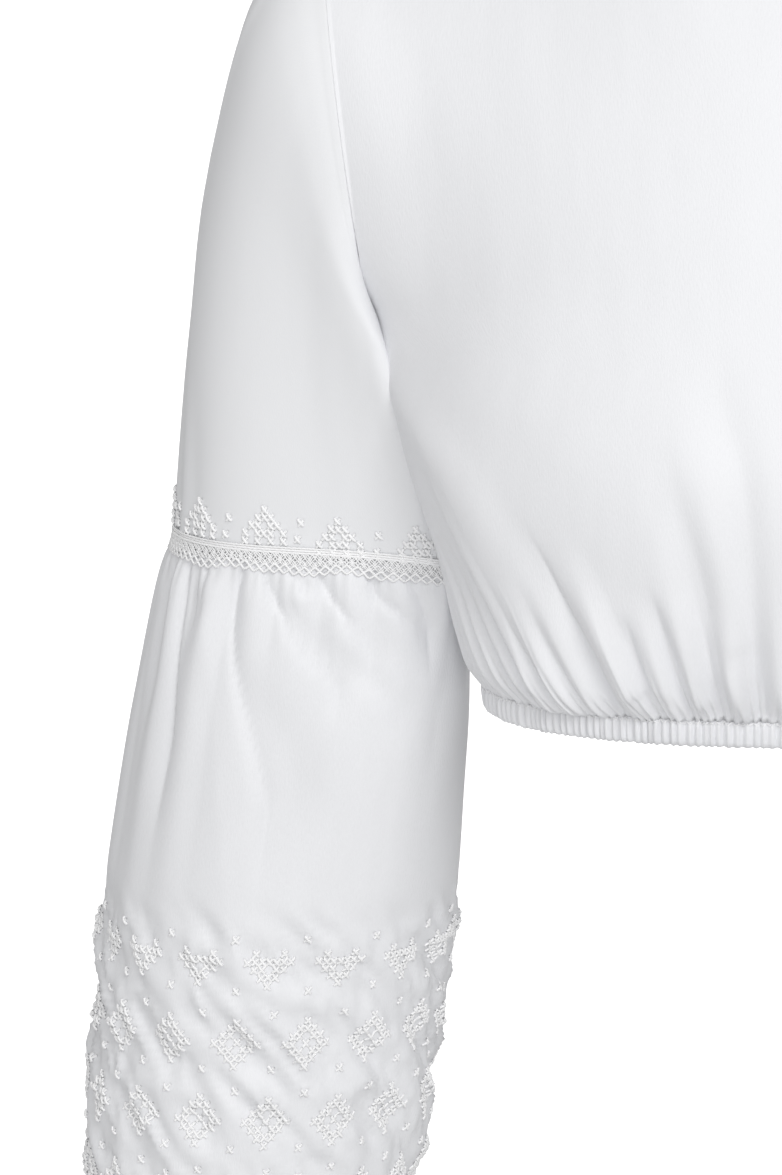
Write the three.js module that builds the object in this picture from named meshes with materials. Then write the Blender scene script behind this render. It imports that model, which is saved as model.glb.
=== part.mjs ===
import * as THREE from 'three';

// A dirndl blouse, hollow and filled out as when it is worn: a cropped body gathered into a casing under the
// bust, smooth upper sleeves, a lace trim just above each elbow, and wide lower sleeves gathered into cuffs.
// Millimetres, +Z up. The front faces -Y and the wearer's right side is at -X. The origin lies midway
// between the two shoulder points, where the wearer's shoulders carry the blouse.

// A table as a list of rows, each with its columns by name.
function table(names, ...rows) {
  return rows.map((values) => Object.fromEntries(names.map((name, index) => [name, values[index]])));
}

// Cloth
const CLOTH = 1.3; // thickness of a panel's wall
const SEAM_GAP = 0.3; // space between two pieces at a seam

// Shoulders, neck and armholes
const SHOULDER_X = 196; // half of the width over both shoulder points
const NECK_X = 97; // half of the width of the neckline
const NECK_SIDE_Y = -3;
const NECK_SIDE_Z = 45; // how far the neck's sides lie above the shoulder points
const NECK_FRONT_Y = -68;
const NECK_FRONT_Z = -12;
const NECK_BACK_Y = 58;
const NECK_BACK_Z = 28;
const NECK_SHARE = 0.46; // share of a panel's top edge that is neckline, the rest is shoulder seam
const NECK_RISE = 2.2; // power with which the shoulders' rise fades down the panels
const EDGE_HOLD = 0.04; // share of a panel's width over which its armhole edge stays in place
const RISE_BLUR = 0.6; // how far across a panel that rise is smoothed, half way down
const ARMPIT_X = 174;
const ARMPIT_Z = -165;
const ARMHOLE_DEPTH = 52; // half of the armhole's width from front to back

// Hem casing
const CASING_TOP = -311;
const CASING_HEIGHT = 10.7;
const CASING_WALL = 1.8;
const CASING_GATHERS = 80;
const CASING_GATHER_HEIGHT = 0.7;
const CASING_SLOPE = 1.5; // how much the casing narrows from its top to its bottom

// Neck binding
const BINDING_HEIGHT = 8;
const BINDING_WALL = 2.3;
const BINDING_PROUD = 0.5; // how far it stands out from the panels

// Sleeves
const LACE_TOP = -255;
const LACE_HEIGHT = 11;
const LACE_WALL = 1.2;
const LACE_CLEAR = 0.7; // space between the lace and the sleeve under it
const LACE_FLARE = 1.2; // how much further out its lower edge hangs, over the gathers
const CUFF_TOP = -588;
const CUFF_HEIGHT = 11;
const CUFF_WALL = 1.8;
const CUFF_PROUD = 0.3;
const CUFF_GATHER_HEIGHT = 0.8;
const UPPER_COLUMNS = 24;
const TUCK_TURN = 138; // where round a sleeve its tuck is deepest
const TUCK_REACH = 40;

// The body's sections, from the casing (-1) past the armpits (0) to the shoulders and the neck (1).
// half: half width; side: y of the side seam; front, back: y at the middle of each panel;
// square: 2 is an ellipse and more is squarer; turn: degrees of arc from the middle to the side.
// Above the armpits the armhole gives the sides, and frontZ and backZ give the height at the middle.
const BODY_SECTIONS = table(
  ['level', 'half', 'side', 'front', 'back', 'square', 'turn', 'frontZ', 'backZ'],
  [-1.0, 127.5, -15, -95, 55, 2.4, 90, -311, -311],
  [-0.93, 133.5, -15, -103, 62, 2.4, 90, -300.8, -300.8],
  [-0.82, 139.5, -15, -111, 68, 2.3, 90, -284.7, -284.7],
  [-0.66, 145.5, -15, -119, 73, 2.3, 90, -261.4, -261.4],
  [-0.48, 155, -13, -124, 79, 2.3, 90, -235.1, -235.1],
  [-0.31, 163.5, -9, -124, 86, 2.3, 90, -210.3, -210.3],
  [-0.16, 170, -4, -120, 93, 2.3, 90, -188.4, -188.4],
  [0.0, 174, 0, -114, 98, 2.3, 88, -165, -165],
  [0.22, 176.5, 0, -109, 101, 2.1, 80, -137, -132],
  [0.4, 181.6, 0, -103, 101, 2, 70, -106, -96],
  [0.6, 188.4, 0, -94, 95, 2, 62, -72, -54],
  [0.8, 193.9, 0, -82, 82, 2, 58, -40, -12],
  [1.0, 196, 0, -68, 58, 2, 56, -12, 28],
);
const FRONT_LEVELS = [-1, -0.96, -0.89, -0.8, -0.66, -0.48, -0.31, -0.16, 0, 0.22, 0.4, 0.6, 0.8, 1];
const BACK_LEVELS = [-1, -0.94, -0.82, -0.62, -0.4, -0.18, 0, 0.22, 0.42, 0.62, 0.82, 1];

// Folds that rise from the casing into the front. at: place along the seam, -1 to 1; crest: the fold's
// height; reach: how far up it runs; dip and dipReach: the same for the trough that follows it.
const FRONT_FOLDS = table(
  ['at', 'crest', 'reach', 'dip', 'dipReach'],
  [-0.95, 1.4, 60, 1.2, 55],
  [-0.88, 1.7, 80, 1.4, 60],
  [-0.81, 1.5, 50, 1.3, 70],
  [-0.74, 1.9, 95, 1.5, 60],
  [-0.68, 1.5, 60, 1.6, 80],
  [-0.62, 2.0, 75, 1.8, 60],
  [-0.56, 2.2, 120, 1.7, 45],
  [-0.49, 1.8, 60, 1.4, 50],
  [-0.43, 2.2, 70, 2.6, 85],
  [-0.335, 3.6, 85, 2.0, 50],
  [-0.25, 2.4, 60, 2.2, 60],
  [-0.19, 2.0, 75, 2.6, 120],
  [-0.105, 2.8, 50, 2.4, 145],
  [-0.02, 2.2, 70, 2.0, 60],
  [0.06, 2.7, 90, 2.4, 120],
  [0.14, 2.1, 60, 2.0, 55],
  [0.22, 2.4, 75, 2.2, 100],
  [0.3, 3.2, 90, 2.4, 60],
  [0.39, 2.2, 60, 2.0, 80],
  [0.46, 1.9, 80, 1.6, 55],
  [0.53, 2.2, 115, 1.8, 60],
  [0.6, 1.7, 60, 1.7, 75],
  [0.67, 2.0, 90, 1.5, 55],
  [0.74, 1.5, 55, 1.5, 70],
  [0.81, 1.8, 80, 1.3, 60],
  [0.88, 1.5, 60, 1.3, 50],
  [0.95, 1.3, 65, 0, 40],
);
const BACK_FOLDS = table(
  ['at', 'crest', 'reach', 'dip', 'dipReach'],
  [-0.93, 1.4, 60, 1.4, 60],
  [-0.82, 1.9, 90, 1.6, 60],
  [-0.72, 1.6, 55, 1.7, 80],
  [-0.61, 2.2, 100, 1.8, 60],
  [-0.5, 1.8, 60, 2.0, 90],
  [-0.4, 2.6, 80, 2.2, 70],
  [-0.29, 2.0, 110, 2.2, 60],
  [-0.19, 2.6, 65, 2.2, 120],
  [-0.08, 2.2, 90, 2.0, 60],
  [0.03, 2.8, 60, 2.4, 110],
  [0.14, 2.1, 95, 2.2, 55],
  [0.24, 2.5, 60, 2.0, 85],
  [0.35, 2.1, 115, 1.9, 60],
  [0.46, 2.4, 70, 2.0, 75],
  [0.56, 1.7, 60, 1.6, 90],
  [0.67, 2.1, 95, 1.7, 55],
  [0.78, 1.6, 60, 1.5, 70],
  [0.89, 1.8, 75, 0, 60],
);
const FOLD_PEAK = 14; // height above the casing at which a fold is fullest
const FOLD_START = 0.45; // share of its height that it has at the casing
const FOLD_LEAN = 0.0046; // how fast the folds spread towards the side seams, per mm of height
const LEAN_REACH = 90; // height at which they stop spreading
const LEAN_RETURN = 0.7; // share of the spread that is gone again at the top edge

// The right sleeve's sections, from the armhole (0) past the lace (1) to the cuff (2).
// outX, outZ: the outer edge; inX, inZ: the edge towards the body; depth: half the depth from front to back;
// back: how far behind the shoulder line its middle lies; tuck: how far the cloth is drawn forward where it
// lies against the body's side.
const SLEEVE_SECTIONS = table(
  ['level', 'outX', 'outZ', 'inX', 'inZ', 'depth', 'back', 'tuck'],
  [0.0, -196, 0, -174, -165, 52, 0, 0],
  [0.1, -209, -3.5, -175.2, -172, 54, 2, 5],
  [0.2, -220, -13.5, -175.2, -180, 55.5, 5, 10],
  [0.32, -231, -34, -173, -189, 56.5, 10, 14],
  [0.48, -241.5, -72, -168.5, -203, 57.5, 17, 18],
  [0.64, -251, -118, -162.5, -219, 58.5, 23.5, 21],
  [0.8, -258, -172, -154, -236, 59.5, 29.5, 23],
  [0.92, -263, -226, -148, -251, 60, 34, 22],
  [1.0, -266.8, -260, -144.5, -260, 60, 36, 20],
  [1.04, -270, -268, -143, -268, 61.5, 36.5, 17],
  [1.12, -276, -290, -140, -290, 64, 37.5, 10],
  [1.25, -285.5, -330, -138.5, -330, 67, 39, 3],
  [1.4, -293.5, -374, -141, -374, 69, 41, 0],
  [1.55, -300.5, -420, -144, -420, 70.5, 43, 0],
  [1.7, -306, -470, -149, -470, 71, 45, 0],
  [1.84, -310.5, -522, -156, -522, 70, 46, 0],
  [1.92, -309, -553, -163, -553, 66, 46, 0],
  [1.97, -298, -575, -176, -575, 55, 46, 0],
  [2.0, -270, CUFF_TOP, -204, CUFF_TOP, 33, 46, 0],
);
const UPPER_LEVELS = [0, 0.06, 0.14, 0.24, 0.38, 0.56, 0.76, 0.9, 1];
const LOWER_LEVELS = [1, 1.03, 1.08, 1.18, 1.34, 1.52, 1.7, 1.84, 1.91, 1.96, 1.985, 2];

// Gathers of the lower sleeve. at: degrees round the sleeve, from its outer edge over the front;
// crest and reach: height and length below the lace; dip and dipReach: the trough that follows.
const SLEEVE_FOLDS = table(
  ['at', 'crest', 'reach', 'dip', 'dipReach'],
  [4, 1.6, 70, 1.6, 60],
  [20, 2.0, 90, 2.0, 110],
  [37, 2.6, 200, 2.8, 60],
  [55, 3.4, 260, 3.0, 150],
  [73, 2.4, 80, 2.6, 120],
  [90, 2.2, 60, 2.2, 90],
  [108, 2.4, 120, 1.8, 50],
  [126, 2.0, 60, 2.0, 80],
  [143, 2.3, 90, 1.8, 60],
  [161, 1.7, 60, 1.6, 80],
  [180, 1.8, 70, 1.7, 60],
  [199, 2.1, 110, 2.0, 60],
  [216, 1.8, 60, 2.2, 130],
  [234, 2.6, 150, 2.2, 70],
  [252, 2.1, 70, 2.4, 160],
  [271, 2.8, 190, 2.2, 60],
  [289, 2.0, 60, 2.1, 100],
  [307, 2.4, 130, 1.8, 60],
  [326, 1.8, 60, 1.9, 90],
  [344, 2.0, 110, 1.6, 60],
);
const LACE_START = 0.08; // share of its height that a gather has at the lace
const LACE_PEAK = 18; // distance below the lace at which a gather is fullest
const CUFF_FOLD_REACH = 42; // length of the gathers above the cuff
const CUFF_FOLD_HEIGHT = 1.5;
const CUFF_FOLD_PEAK = 12;

// Colours
const WHITE_SATEEN = 0xe9ebef;
const SHEER_WHITE = 0xe2e5ea;
const LACE_WHITE = 0xf1f2f4;

const SMALL_STEP = 1e-3;
const ROW_SAMPLES = 160;
const HALVINGS = 30;
const BLUR_STEPS = 4;

const clamp = (value, low, high) => Math.min(high, Math.max(low, value));
const mix = (from, to, share) => from + (to - from) * share;
const ease = (share) => share * share * (3 - 2 * share);
const signedPower = (value, power) => Math.sign(value) * Math.abs(value) ** power;

// One column of a table of sections, as a smooth curve through its rows.
function column(sections, name, level) {
  const at = clamp(level, sections[0].level, sections[sections.length - 1].level);
  let row = 0;
  while (row < sections.length - 2 && at > sections[row + 1].level) row += 1;
  const slope = (index) => {
    const before = sections[Math.max(0, index - 1)];
    const after = sections[Math.min(sections.length - 1, index + 1)];
    return (after[name] - before[name]) / (after.level - before.level);
  };
  const [low, high] = [sections[row], sections[row + 1]];
  const span = high.level - low.level;
  const t = (at - low.level) / span;
  const [t2, t3] = [t * t, t * t * t];
  return (2 * t3 - 3 * t2 + 1) * low[name] + (t3 - 2 * t2 + t) * span * slope(row)
    + (3 * t2 - 2 * t3) * high[name] + (t3 - t2) * span * slope(row + 1);
}

// A fold's height at a distance from its seam: it swells to its peak and dies out at its reach.
function swell(distance, peak, reach, start) {
  if (distance >= reach) return 0;
  if (distance < peak) return mix(start, 1, ease(distance / peak));
  return 1 - ease((distance - peak) / (reach - peak));
}

// Crests and troughs of a table of folds, in order, each with its place, signed height and reach.
function foldLines(folds, endOfRow) {
  const lines = [];
  folds.forEach((fold, index) => {
    const next = index + 1 < folds.length ? folds[index + 1].at : endOfRow;
    lines.push({ at: fold.at, height: fold.crest, reach: fold.reach });
    lines.push({ at: (fold.at + next) / 2, height: -fold.dip, reach: fold.dipReach });
  });
  return lines;
}

// A wall of cloth as one closed solid: rows of outside points, each with its partner on the inside.
// A tube's last column joins its first, and a panel is closed by rims along its two sides.
function clothWall(outside, inside, tube) {
  const rows = outside.length;
  const columns = outside[0].length;
  const points = [...outside.flat(), ...inside.flat()];
  const place = (row, col, layer) => layer * rows * columns + row * columns + (col % columns);
  const faces = [];
  const quad = (a, b, c, d) => faces.push(a, b, c, a, c, d);
  const lastColumn = tube ? columns : columns - 1;
  for (let row = 0; row < rows - 1; row += 1) {
    for (let col = 0; col < lastColumn; col += 1) {
      quad(place(row, col, 0), place(row, col + 1, 0), place(row + 1, col + 1, 0), place(row + 1, col, 0));
      quad(place(row, col, 1), place(row + 1, col, 1), place(row + 1, col + 1, 1), place(row, col + 1, 1));
    }
  }
  for (let col = 0; col < lastColumn; col += 1) {
    quad(place(0, col, 1), place(0, col + 1, 1), place(0, col + 1, 0), place(0, col, 0));
    const last = rows - 1;
    quad(place(last, col, 0), place(last, col + 1, 0), place(last, col + 1, 1), place(last, col, 1));
  }
  if (!tube) {
    for (let row = 0; row < rows - 1; row += 1) {
      quad(place(row, 0, 0), place(row + 1, 0, 0), place(row + 1, 0, 1), place(row, 0, 1));
      quad(place(row, columns - 1, 1), place(row + 1, columns - 1, 1),
        place(row + 1, columns - 1, 0), place(row, columns - 1, 0));
    }
  }
  return closedGeometry(points, faces);
}

// A geometry whose faces point outwards, whichever way round they were listed.
function closedGeometry(points, faces) {
  let volume = 0;
  for (let face = 0; face < faces.length; face += 3) {
    const [a, b, c] = [points[faces[face]], points[faces[face + 1]], points[faces[face + 2]]];
    volume += a.dot(new THREE.Vector3().crossVectors(b, c));
  }
  if (volume < 0) faces.reverse();
  const geometry = new THREE.BufferGeometry();
  geometry.setAttribute('position', new THREE.Float32BufferAttribute(points.flatMap((p) => p.toArray()), 3));
  geometry.setIndex(faces);
  return geometry;
}

// The unit normal of a surface given as a function of a place across it and a level.
function normalOf(surface, across, level, lowLevel, highLevel) {
  const alongStep = new THREE.Vector3().subVectors(
    surface(across, Math.min(level + SMALL_STEP, highLevel)),
    surface(across, Math.max(level - SMALL_STEP, lowLevel)),
  );
  const acrossStep = new THREE.Vector3().subVectors(
    surface(across + SMALL_STEP, level),
    surface(across - SMALL_STEP, level),
  );
  return acrossStep.cross(alongStep).normalize();
}

// The right armhole: its angle runs from -90 degrees at the armpit to 90 at the shoulder point.
const armholeAngle = (level) => THREE.MathUtils.degToRad(mix(-90, 90, clamp(level, 0, 1)));
function armholePoint(level, facing) {
  const angle = armholeAngle(level);
  const rise = (1 + Math.sin(angle)) / 2;
  return new THREE.Vector3(-mix(ARMPIT_X, SHOULDER_X, rise), facing * ARMHOLE_DEPTH * Math.cos(angle),
    mix(ARMPIT_Z, 0, rise));
}

// Inwards at the armhole's edge, in its own plane, so that the panels and the sleeve meet rim to rim.
function armholeInward(level, facing) {
  const angle = armholeAngle(level);
  const [across, down] = [Math.cos(angle) / ARMHOLE_DEPTH, 2 * Math.sin(angle) / ARMPIT_Z];
  return new THREE.Vector3(0, -facing * across, down).normalize();
}

// The neckline: 0 degrees at the wearer's right side of the neck, 90 at the middle of the front or the back.
function neckPoint(turn, facing) {
  const middle = facing < 0 ? [NECK_FRONT_Y, NECK_FRONT_Z] : [NECK_BACK_Y, NECK_BACK_Z];
  const angle = THREE.MathUtils.degToRad(turn);
  const rise = Math.sin(angle) ** 2;
  return new THREE.Vector3(-NECK_X * Math.cos(angle), mix(NECK_SIDE_Y, middle[0], Math.sin(angle)),
    mix(NECK_SIDE_Z, middle[1], rise));
}

// At the neckline: up is the way the cloth would go on towards the neck, and out is away from the body.
// across is the place along a panel's top edge, where the neckline runs from -NECK_SHARE to NECK_SHARE.
function neckFrame(across, facing) {
  const turn = 90 - 90 * (Math.abs(across) / NECK_SHARE);
  const tangent = neckPoint(turn + 1, facing).sub(neckPoint(turn - 1, facing)).normalize();
  const angle = THREE.MathUtils.degToRad(turn);
  const lean = mix(0.5, 1.6, Math.cos(angle) ** 4);
  const up = new THREE.Vector3(lean * Math.cos(angle), -facing * lean * Math.sin(angle), 1);
  up.addScaledVector(tangent, -up.dot(tangent)).normalize();
  const out = new THREE.Vector3(-Math.cos(angle), facing * Math.sin(angle), 0);
  out.addScaledVector(up, -out.dot(up)).normalize();
  const point = neckPoint(turn, facing);
  if (across > 0) [point, up, out].forEach((vector) => vector.setX(-vector.x));
  return { point, up, out };
}

// The top edge of a panel: shoulder seam, neckline, shoulder seam. across runs from -1 to 1.
function topEdge(across, facing) {
  const side = across < 0 ? 1 : -1;
  const place = Math.abs(across);
  const point = place > NECK_SHARE
    ? new THREE.Vector3().lerpVectors(neckPoint(0, facing), new THREE.Vector3(-SHOULDER_X, 0, 0),
      (place - NECK_SHARE) / (1 - NECK_SHARE))
    : neckPoint(90 - 90 * (place / NECK_SHARE), facing);
  point.x *= side;
  return point;
}

// A section of a panel before its top edge is lifted to the shoulders, as points evenly spaced along it.
const sectionCache = new Map();
function sectionLine(level, facing) {
  const key = `${facing} ${level}`;
  if (sectionCache.has(key)) return sectionCache.get(key);
  const read = (name) => column(BODY_SECTIONS, name, level);
  const edge = level > 0 ? armholePoint(level, facing)
    : new THREE.Vector3(-read('half'), read('side'), mix(ARMPIT_Z, CASING_TOP, -level));
  const middleY = read(facing < 0 ? 'front' : 'back');
  const middleZ = read(facing < 0 ? 'frontZ' : 'backZ');
  const turn = THREE.MathUtils.degToRad(read('turn'));
  const power = 2 / read('square');
  const points = [];
  for (let step = 0; step <= ROW_SAMPLES; step += 1) {
    const angle = turn * (2 * step / ROW_SAMPLES - 1);
    const wide = signedPower(Math.sin(angle) / Math.sin(turn), power);
    const deep = Math.max(0, (Math.cos(angle) - Math.cos(turn)) / (1 - Math.cos(turn))) ** power;
    points.push(new THREE.Vector3(-edge.x * wide, mix(edge.y, middleY, deep), mix(edge.z, middleZ, deep)));
  }
  const lengths = [0];
  for (let step = 1; step <= ROW_SAMPLES; step += 1) {
    lengths.push(lengths[step - 1] + points[step].distanceTo(points[step - 1]));
  }
  const line = { points, lengths };
  sectionCache.set(key, line);
  return line;
}

function sectionPoint(across, level, facing) {
  const { points, lengths } = sectionLine(level, facing);
  const wanted = clamp((across + 1) / 2, 0, 1) * lengths[ROW_SAMPLES];
  let step = 1;
  while (step < ROW_SAMPLES && lengths[step] < wanted) step += 1;
  const share = (wanted - lengths[step - 1]) / (lengths[step] - lengths[step - 1]);
  return new THREE.Vector3().lerpVectors(points[step - 1], points[step], share);
}

// The smooth surface of the front (facing -1) or the back (facing 1).
function panelPoint(across, level, facing) {
  const point = sectionPoint(across, level, facing);
  if (level <= 0) return point;
  const blur = RISE_BLUR * Math.sqrt(1 - level);
  let weights = 0;
  const lift = new THREE.Vector3();
  for (let step = -BLUR_STEPS; step <= BLUR_STEPS; step += 1) {
    const place = across + blur * step / BLUR_STEPS;
    const nearby = place < -1 ? -2 - place : place > 1 ? 2 - place : place;
    const weight = BLUR_STEPS + 1 - Math.abs(step);
    lift.addScaledVector(topEdge(nearby, facing).sub(sectionPoint(nearby, 1, facing)), weight);
    weights += weight;
  }
  const edge = Math.min(1, (1 - Math.abs(across)) / EDGE_HOLD);
  return point.addScaledVector(lift, edge * level ** NECK_RISE / weights);
}

// Folds spread sideways as they rise from the casing, and the columns draw together again above the armpits.
function spread(at, height, level) {
  const lean = FOLD_LEAN * Math.min(height, LEAN_REACH) * (1 - LEAN_RETURN * Math.max(0, level));
  return at + lean * at * (1 - at * at);
}

function panelInward(across, level, facing) {
  const side = Math.sign(across);
  if (Math.abs(across) === 1) {
    const inward = level > 0 ? armholeInward(level, facing) : new THREE.Vector3(1, 0, 0);
    if (level === 0) inward.z += 1;
    inward.x *= -side;
    return inward;
  }
  if (level === 1 && Math.abs(across) <= NECK_SHARE) return neckFrame(across, facing).out.negate();
  if (level === 1) {
    const seam = new THREE.Vector3(SHOULDER_X - NECK_X, 0, NECK_SIDE_Z).normalize();
    return new THREE.Vector3(-side * seam.z, 0, -seam.x);
  }
  const surface = (a, b) => panelPoint(a, b, facing);
  const inward = normalOf(surface, across, level, -1, 1).multiplyScalar(facing);
  if (level === -1) inward.setZ(0).normalize();
  return inward;
}

// Where each column of a panel crosses one level. At the top, the nearest columns end at the neck's sides.
function panelColumns(lines, level) {
  const height = mix(ARMPIT_Z, CASING_TOP, -Math.min(level, 0)) - CASING_TOP;
  const places = lines.map(({ at }) => spread(at, height, level));
  if (level === 1) {
    for (const corner of [-NECK_SHARE, NECK_SHARE]) {
      const misses = places.map((place) => Math.abs(place - corner));
      places[misses.indexOf(Math.min(...misses))] = corner;
    }
  }
  return { height, places };
}

const panelLines = (folds) => [{ at: -1, height: 0, reach: 0 }, ...foldLines(folds, 1).slice(0, -1),
  { at: 1, height: 0, reach: 0 }];

// A body panel: columns follow the crests and troughs of its folds.
function bodyPanel(levels, folds, facing) {
  const lines = panelLines(folds);
  const outside = [];
  const inside = [];
  levels.forEach((level) => {
    const { height, places } = panelColumns(lines, level);
    const inwards = places.map((across) => panelInward(across, level, facing));
    const outerRow = places.map((across, index) => {
      const { height: fold, reach } = lines[index];
      const point = panelPoint(across, level, facing);
      point.y += facing * SEAM_GAP / 2;
      return point.addScaledVector(inwards[index], -fold * swell(height, FOLD_PEAK, reach, FOLD_START));
    });
    outside.push(outerRow);
    inside.push(outerRow.map((point, index) => point.clone().addScaledVector(inwards[index], CLOTH)));
  });
  return clothWall(outside, inside, false);
}

// The right sleeve's smooth surface. turn is in degrees, from the outer edge over the front.
function sleevePoint(turn, level) {
  const read = (name) => column(SLEEVE_SECTIONS, name, level);
  const angle = THREE.MathUtils.degToRad(turn);
  const [outX, outZ, inX, inZ] = ['outX', 'outZ', 'inX', 'inZ'].map(read);
  const away = Math.min(1, Math.abs(turn - TUCK_TURN) / TUCK_REACH);
  const tuck = read('tuck') * Math.cos(away * Math.PI / 2) ** 2;
  return new THREE.Vector3(
    (outX + inX) / 2 + (outX - inX) / 2 * Math.cos(angle) - SEAM_GAP,
    read('back') - read('depth') * Math.sin(angle) - tuck,
    (outZ + inZ) / 2 + (outZ - inZ) / 2 * Math.cos(angle),
  );
}

function sleeveInward(turn, level) {
  if (level === 0) {
    const angle = THREE.MathUtils.degToRad(turn);
    return new THREE.Vector3(0, Math.sin(angle) / ARMHOLE_DEPTH, 2 * Math.cos(angle) / ARMPIT_Z).normalize();
  }
  const inward = normalOf(sleevePoint, turn, level, 0, 2);
  if (level === 1 || level === 2) inward.setZ(0).normalize();
  return inward;
}

function sleeveTube(levels, lines, foldHeight, shift) {
  const outside = [];
  const inside = [];
  levels.forEach((level) => {
    const outerRow = [];
    const innerRow = [];
    lines.forEach((line) => {
      const inward = sleeveInward(line.at, level);
      const point = sleevePoint(line.at, level);
      if (level === 1) point.z += shift;
      point.addScaledVector(inward, -foldHeight(line, point.z));
      outerRow.push(point);
      innerRow.push(point.clone().addScaledVector(inward, CLOTH));
    });
    outside.push(outerRow);
    inside.push(innerRow);
  });
  return clothWall(outside, inside, true);
}

const evenLines = (count) => Array.from({ length: count }, (_, index) => ({ at: 360 * index / count }));
const gatherLines = foldLines(SLEEVE_FOLDS, 360 + SLEEVE_FOLDS[0].at);

const upperSleeve = () => sleeveTube(UPPER_LEVELS, evenLines(UPPER_COLUMNS), () => 0, SEAM_GAP / 2);

function lowerSleeve() {
  const seamZ = column(SLEEVE_SECTIONS, 'outZ', 1);
  const foldHeight = (line, z) => {
    const below = Math.max(0, seamZ - z);
    const aboveCuff = Math.max(0, z - CUFF_TOP);
    const cuffFold = CUFF_FOLD_HEIGHT * swell(aboveCuff, CUFF_FOLD_PEAK, CUFF_FOLD_REACH, FOLD_START);
    return line.height * swell(below, LACE_PEAK, line.reach, LACE_START) + Math.sign(line.height) * cuffFold;
  };
  return sleeveTube(LOWER_LEVELS, gatherLines, foldHeight, -SEAM_GAP / 2);
}

// The level at which one line down the sleeve reaches a height.
function levelAt(turn, z) {
  let [above, below] = [0, 2];
  for (let halving = 0; halving < HALVINGS; halving += 1) {
    const middle = (above + below) / 2;
    if (sleevePoint(turn, middle).z > z) above = middle;
    else below = middle;
  }
  return above;
}

// A band round the sleeve: rows of height and distance outwards from the sleeve's surface at that height.
function sleeveBand(rows, wall, gatherHeight) {
  const row = ({ z, on, out: distance }, depth) => gatherLines.map((line) => {
    const level = levelAt(line.at, on ?? z);
    const out = sleeveInward(line.at, level).negate().setZ(0).normalize();
    const gather = Math.sign(line.height) * gatherHeight;
    return sleevePoint(line.at, level).addScaledVector(out, distance + gather - depth).setZ(z);
  });
  return clothWall(rows.map((each) => row(each, 0)), rows.map((each) => row(each, wall)), true);
}

function laceTrim() {
  const clear = LACE_CLEAR + LACE_WALL;
  return sleeveBand([
    { z: LACE_TOP, out: clear },
    { z: LACE_TOP - LACE_HEIGHT / 2, out: clear + LACE_FLARE / 4 },
    { z: LACE_TOP - LACE_HEIGHT, out: clear + LACE_FLARE },
  ], LACE_WALL, 0);
}

function cuff() {
  const top = CUFF_TOP - SEAM_GAP;
  return sleeveBand([
    { z: top, on: CUFF_TOP, out: CUFF_PROUD },
    { z: top - CUFF_HEIGHT, on: CUFF_TOP, out: CUFF_PROUD },
  ], CUFF_WALL, CUFF_GATHER_HEIGHT);
}

// The elastic casing under the bust, one gathered ring round the front and the back.
function hemCasing() {
  const count = CASING_GATHERS;
  const ring = (z, distance) => {
    const points = [];
    for (const facing of [-1, 1]) {
      for (let index = 0; index < count; index += 1) {
        const across = facing * (1 - 2 * index / count);
        const gather = (index % 2 === 0 ? 1 : -1) * CASING_GATHER_HEIGHT / 2;
        const out = normalOf((a, b) => panelPoint(a, b, facing), clamp(across, -0.999, 0.999), -1, -1, 1);
        out.multiplyScalar(-facing).setZ(0).normalize();
        const point = panelPoint(across, -1, facing);
        point.addScaledVector(out, distance + gather);
        point.z = z;
        points.push(point);
      }
    }
    return points;
  };
  const top = CASING_TOP - SEAM_GAP;
  const bottom = top - CASING_HEIGHT;
  return clothWall([ring(top, 0.3), ring(bottom, 0.3 - CASING_SLOPE)],
    [ring(top, 0.3 - CASING_WALL), ring(bottom, 0.3 - CASING_SLOPE - CASING_WALL)], true);
}

// The neck binding: a folded strip with a round upper edge, standing on the edge of both panels.
function neckBinding() {
  const section = [
    { up: SEAM_GAP, out: BINDING_PROUD },
    { up: BINDING_HEIGHT - 1, out: BINDING_PROUD },
    { up: BINDING_HEIGHT, out: BINDING_PROUD - BINDING_WALL / 2 },
    { up: BINDING_HEIGHT - 1, out: BINDING_PROUD - BINDING_WALL },
    { up: SEAM_GAP, out: BINDING_PROUD - BINDING_WALL },
  ];
  const loop = [];
  for (const [facing, folds] of [[-1, FRONT_FOLDS], [1, BACK_FOLDS]]) {
    const { places } = panelColumns(panelLines(folds), 1);
    const along = places.filter((across) => Math.abs(across) <= NECK_SHARE);
    if (facing > 0) along.reverse();
    along.slice(0, -1).forEach((across) => {
      const frame = neckFrame(across, facing);
      loop.push(section.map(({ up, out }) => frame.point.clone()
        .addScaledVector(frame.up, up).addScaledVector(frame.out, out)));
    });
  }
  const corners = section.length;
  const faces = [];
  loop.forEach((_, ring) => {
    const next = (ring + 1) % loop.length;
    for (let corner = 0; corner < corners; corner += 1) {
      const [a, b] = [ring * corners + corner, ring * corners + (corner + 1) % corners];
      const [c, d] = [next * corners + (corner + 1) % corners, next * corners + corner];
      faces.push(a, b, c, a, c, d);
    }
  });
  return closedGeometry(loop.flat(), faces);
}

function mirrored(geometry) {
  const copy = geometry.clone();
  copy.scale(-1, 1, 1);
  copy.setIndex(Array.from(copy.index.array).reverse());
  return copy;
}

const sateen = new THREE.MeshStandardMaterial({ color: WHITE_SATEEN, roughness: 0.55, metalness: 0 });
const sheer = new THREE.MeshStandardMaterial({ color: SHEER_WHITE, roughness: 0.6, metalness: 0 });
const lace = new THREE.MeshStandardMaterial({ color: LACE_WHITE, roughness: 0.8, metalness: 0 });

const blouse = new THREE.Group();
function addPiece(name, geometry, material) {
  const piece = new THREE.Mesh(geometry, material.clone());
  piece.name = name;
  blouse.add(piece);
}

function addPair(name, geometry, material) {
  addPiece(`${name}_right`, geometry, material);
  addPiece(`${name}_left`, mirrored(geometry), material);
}

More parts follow.
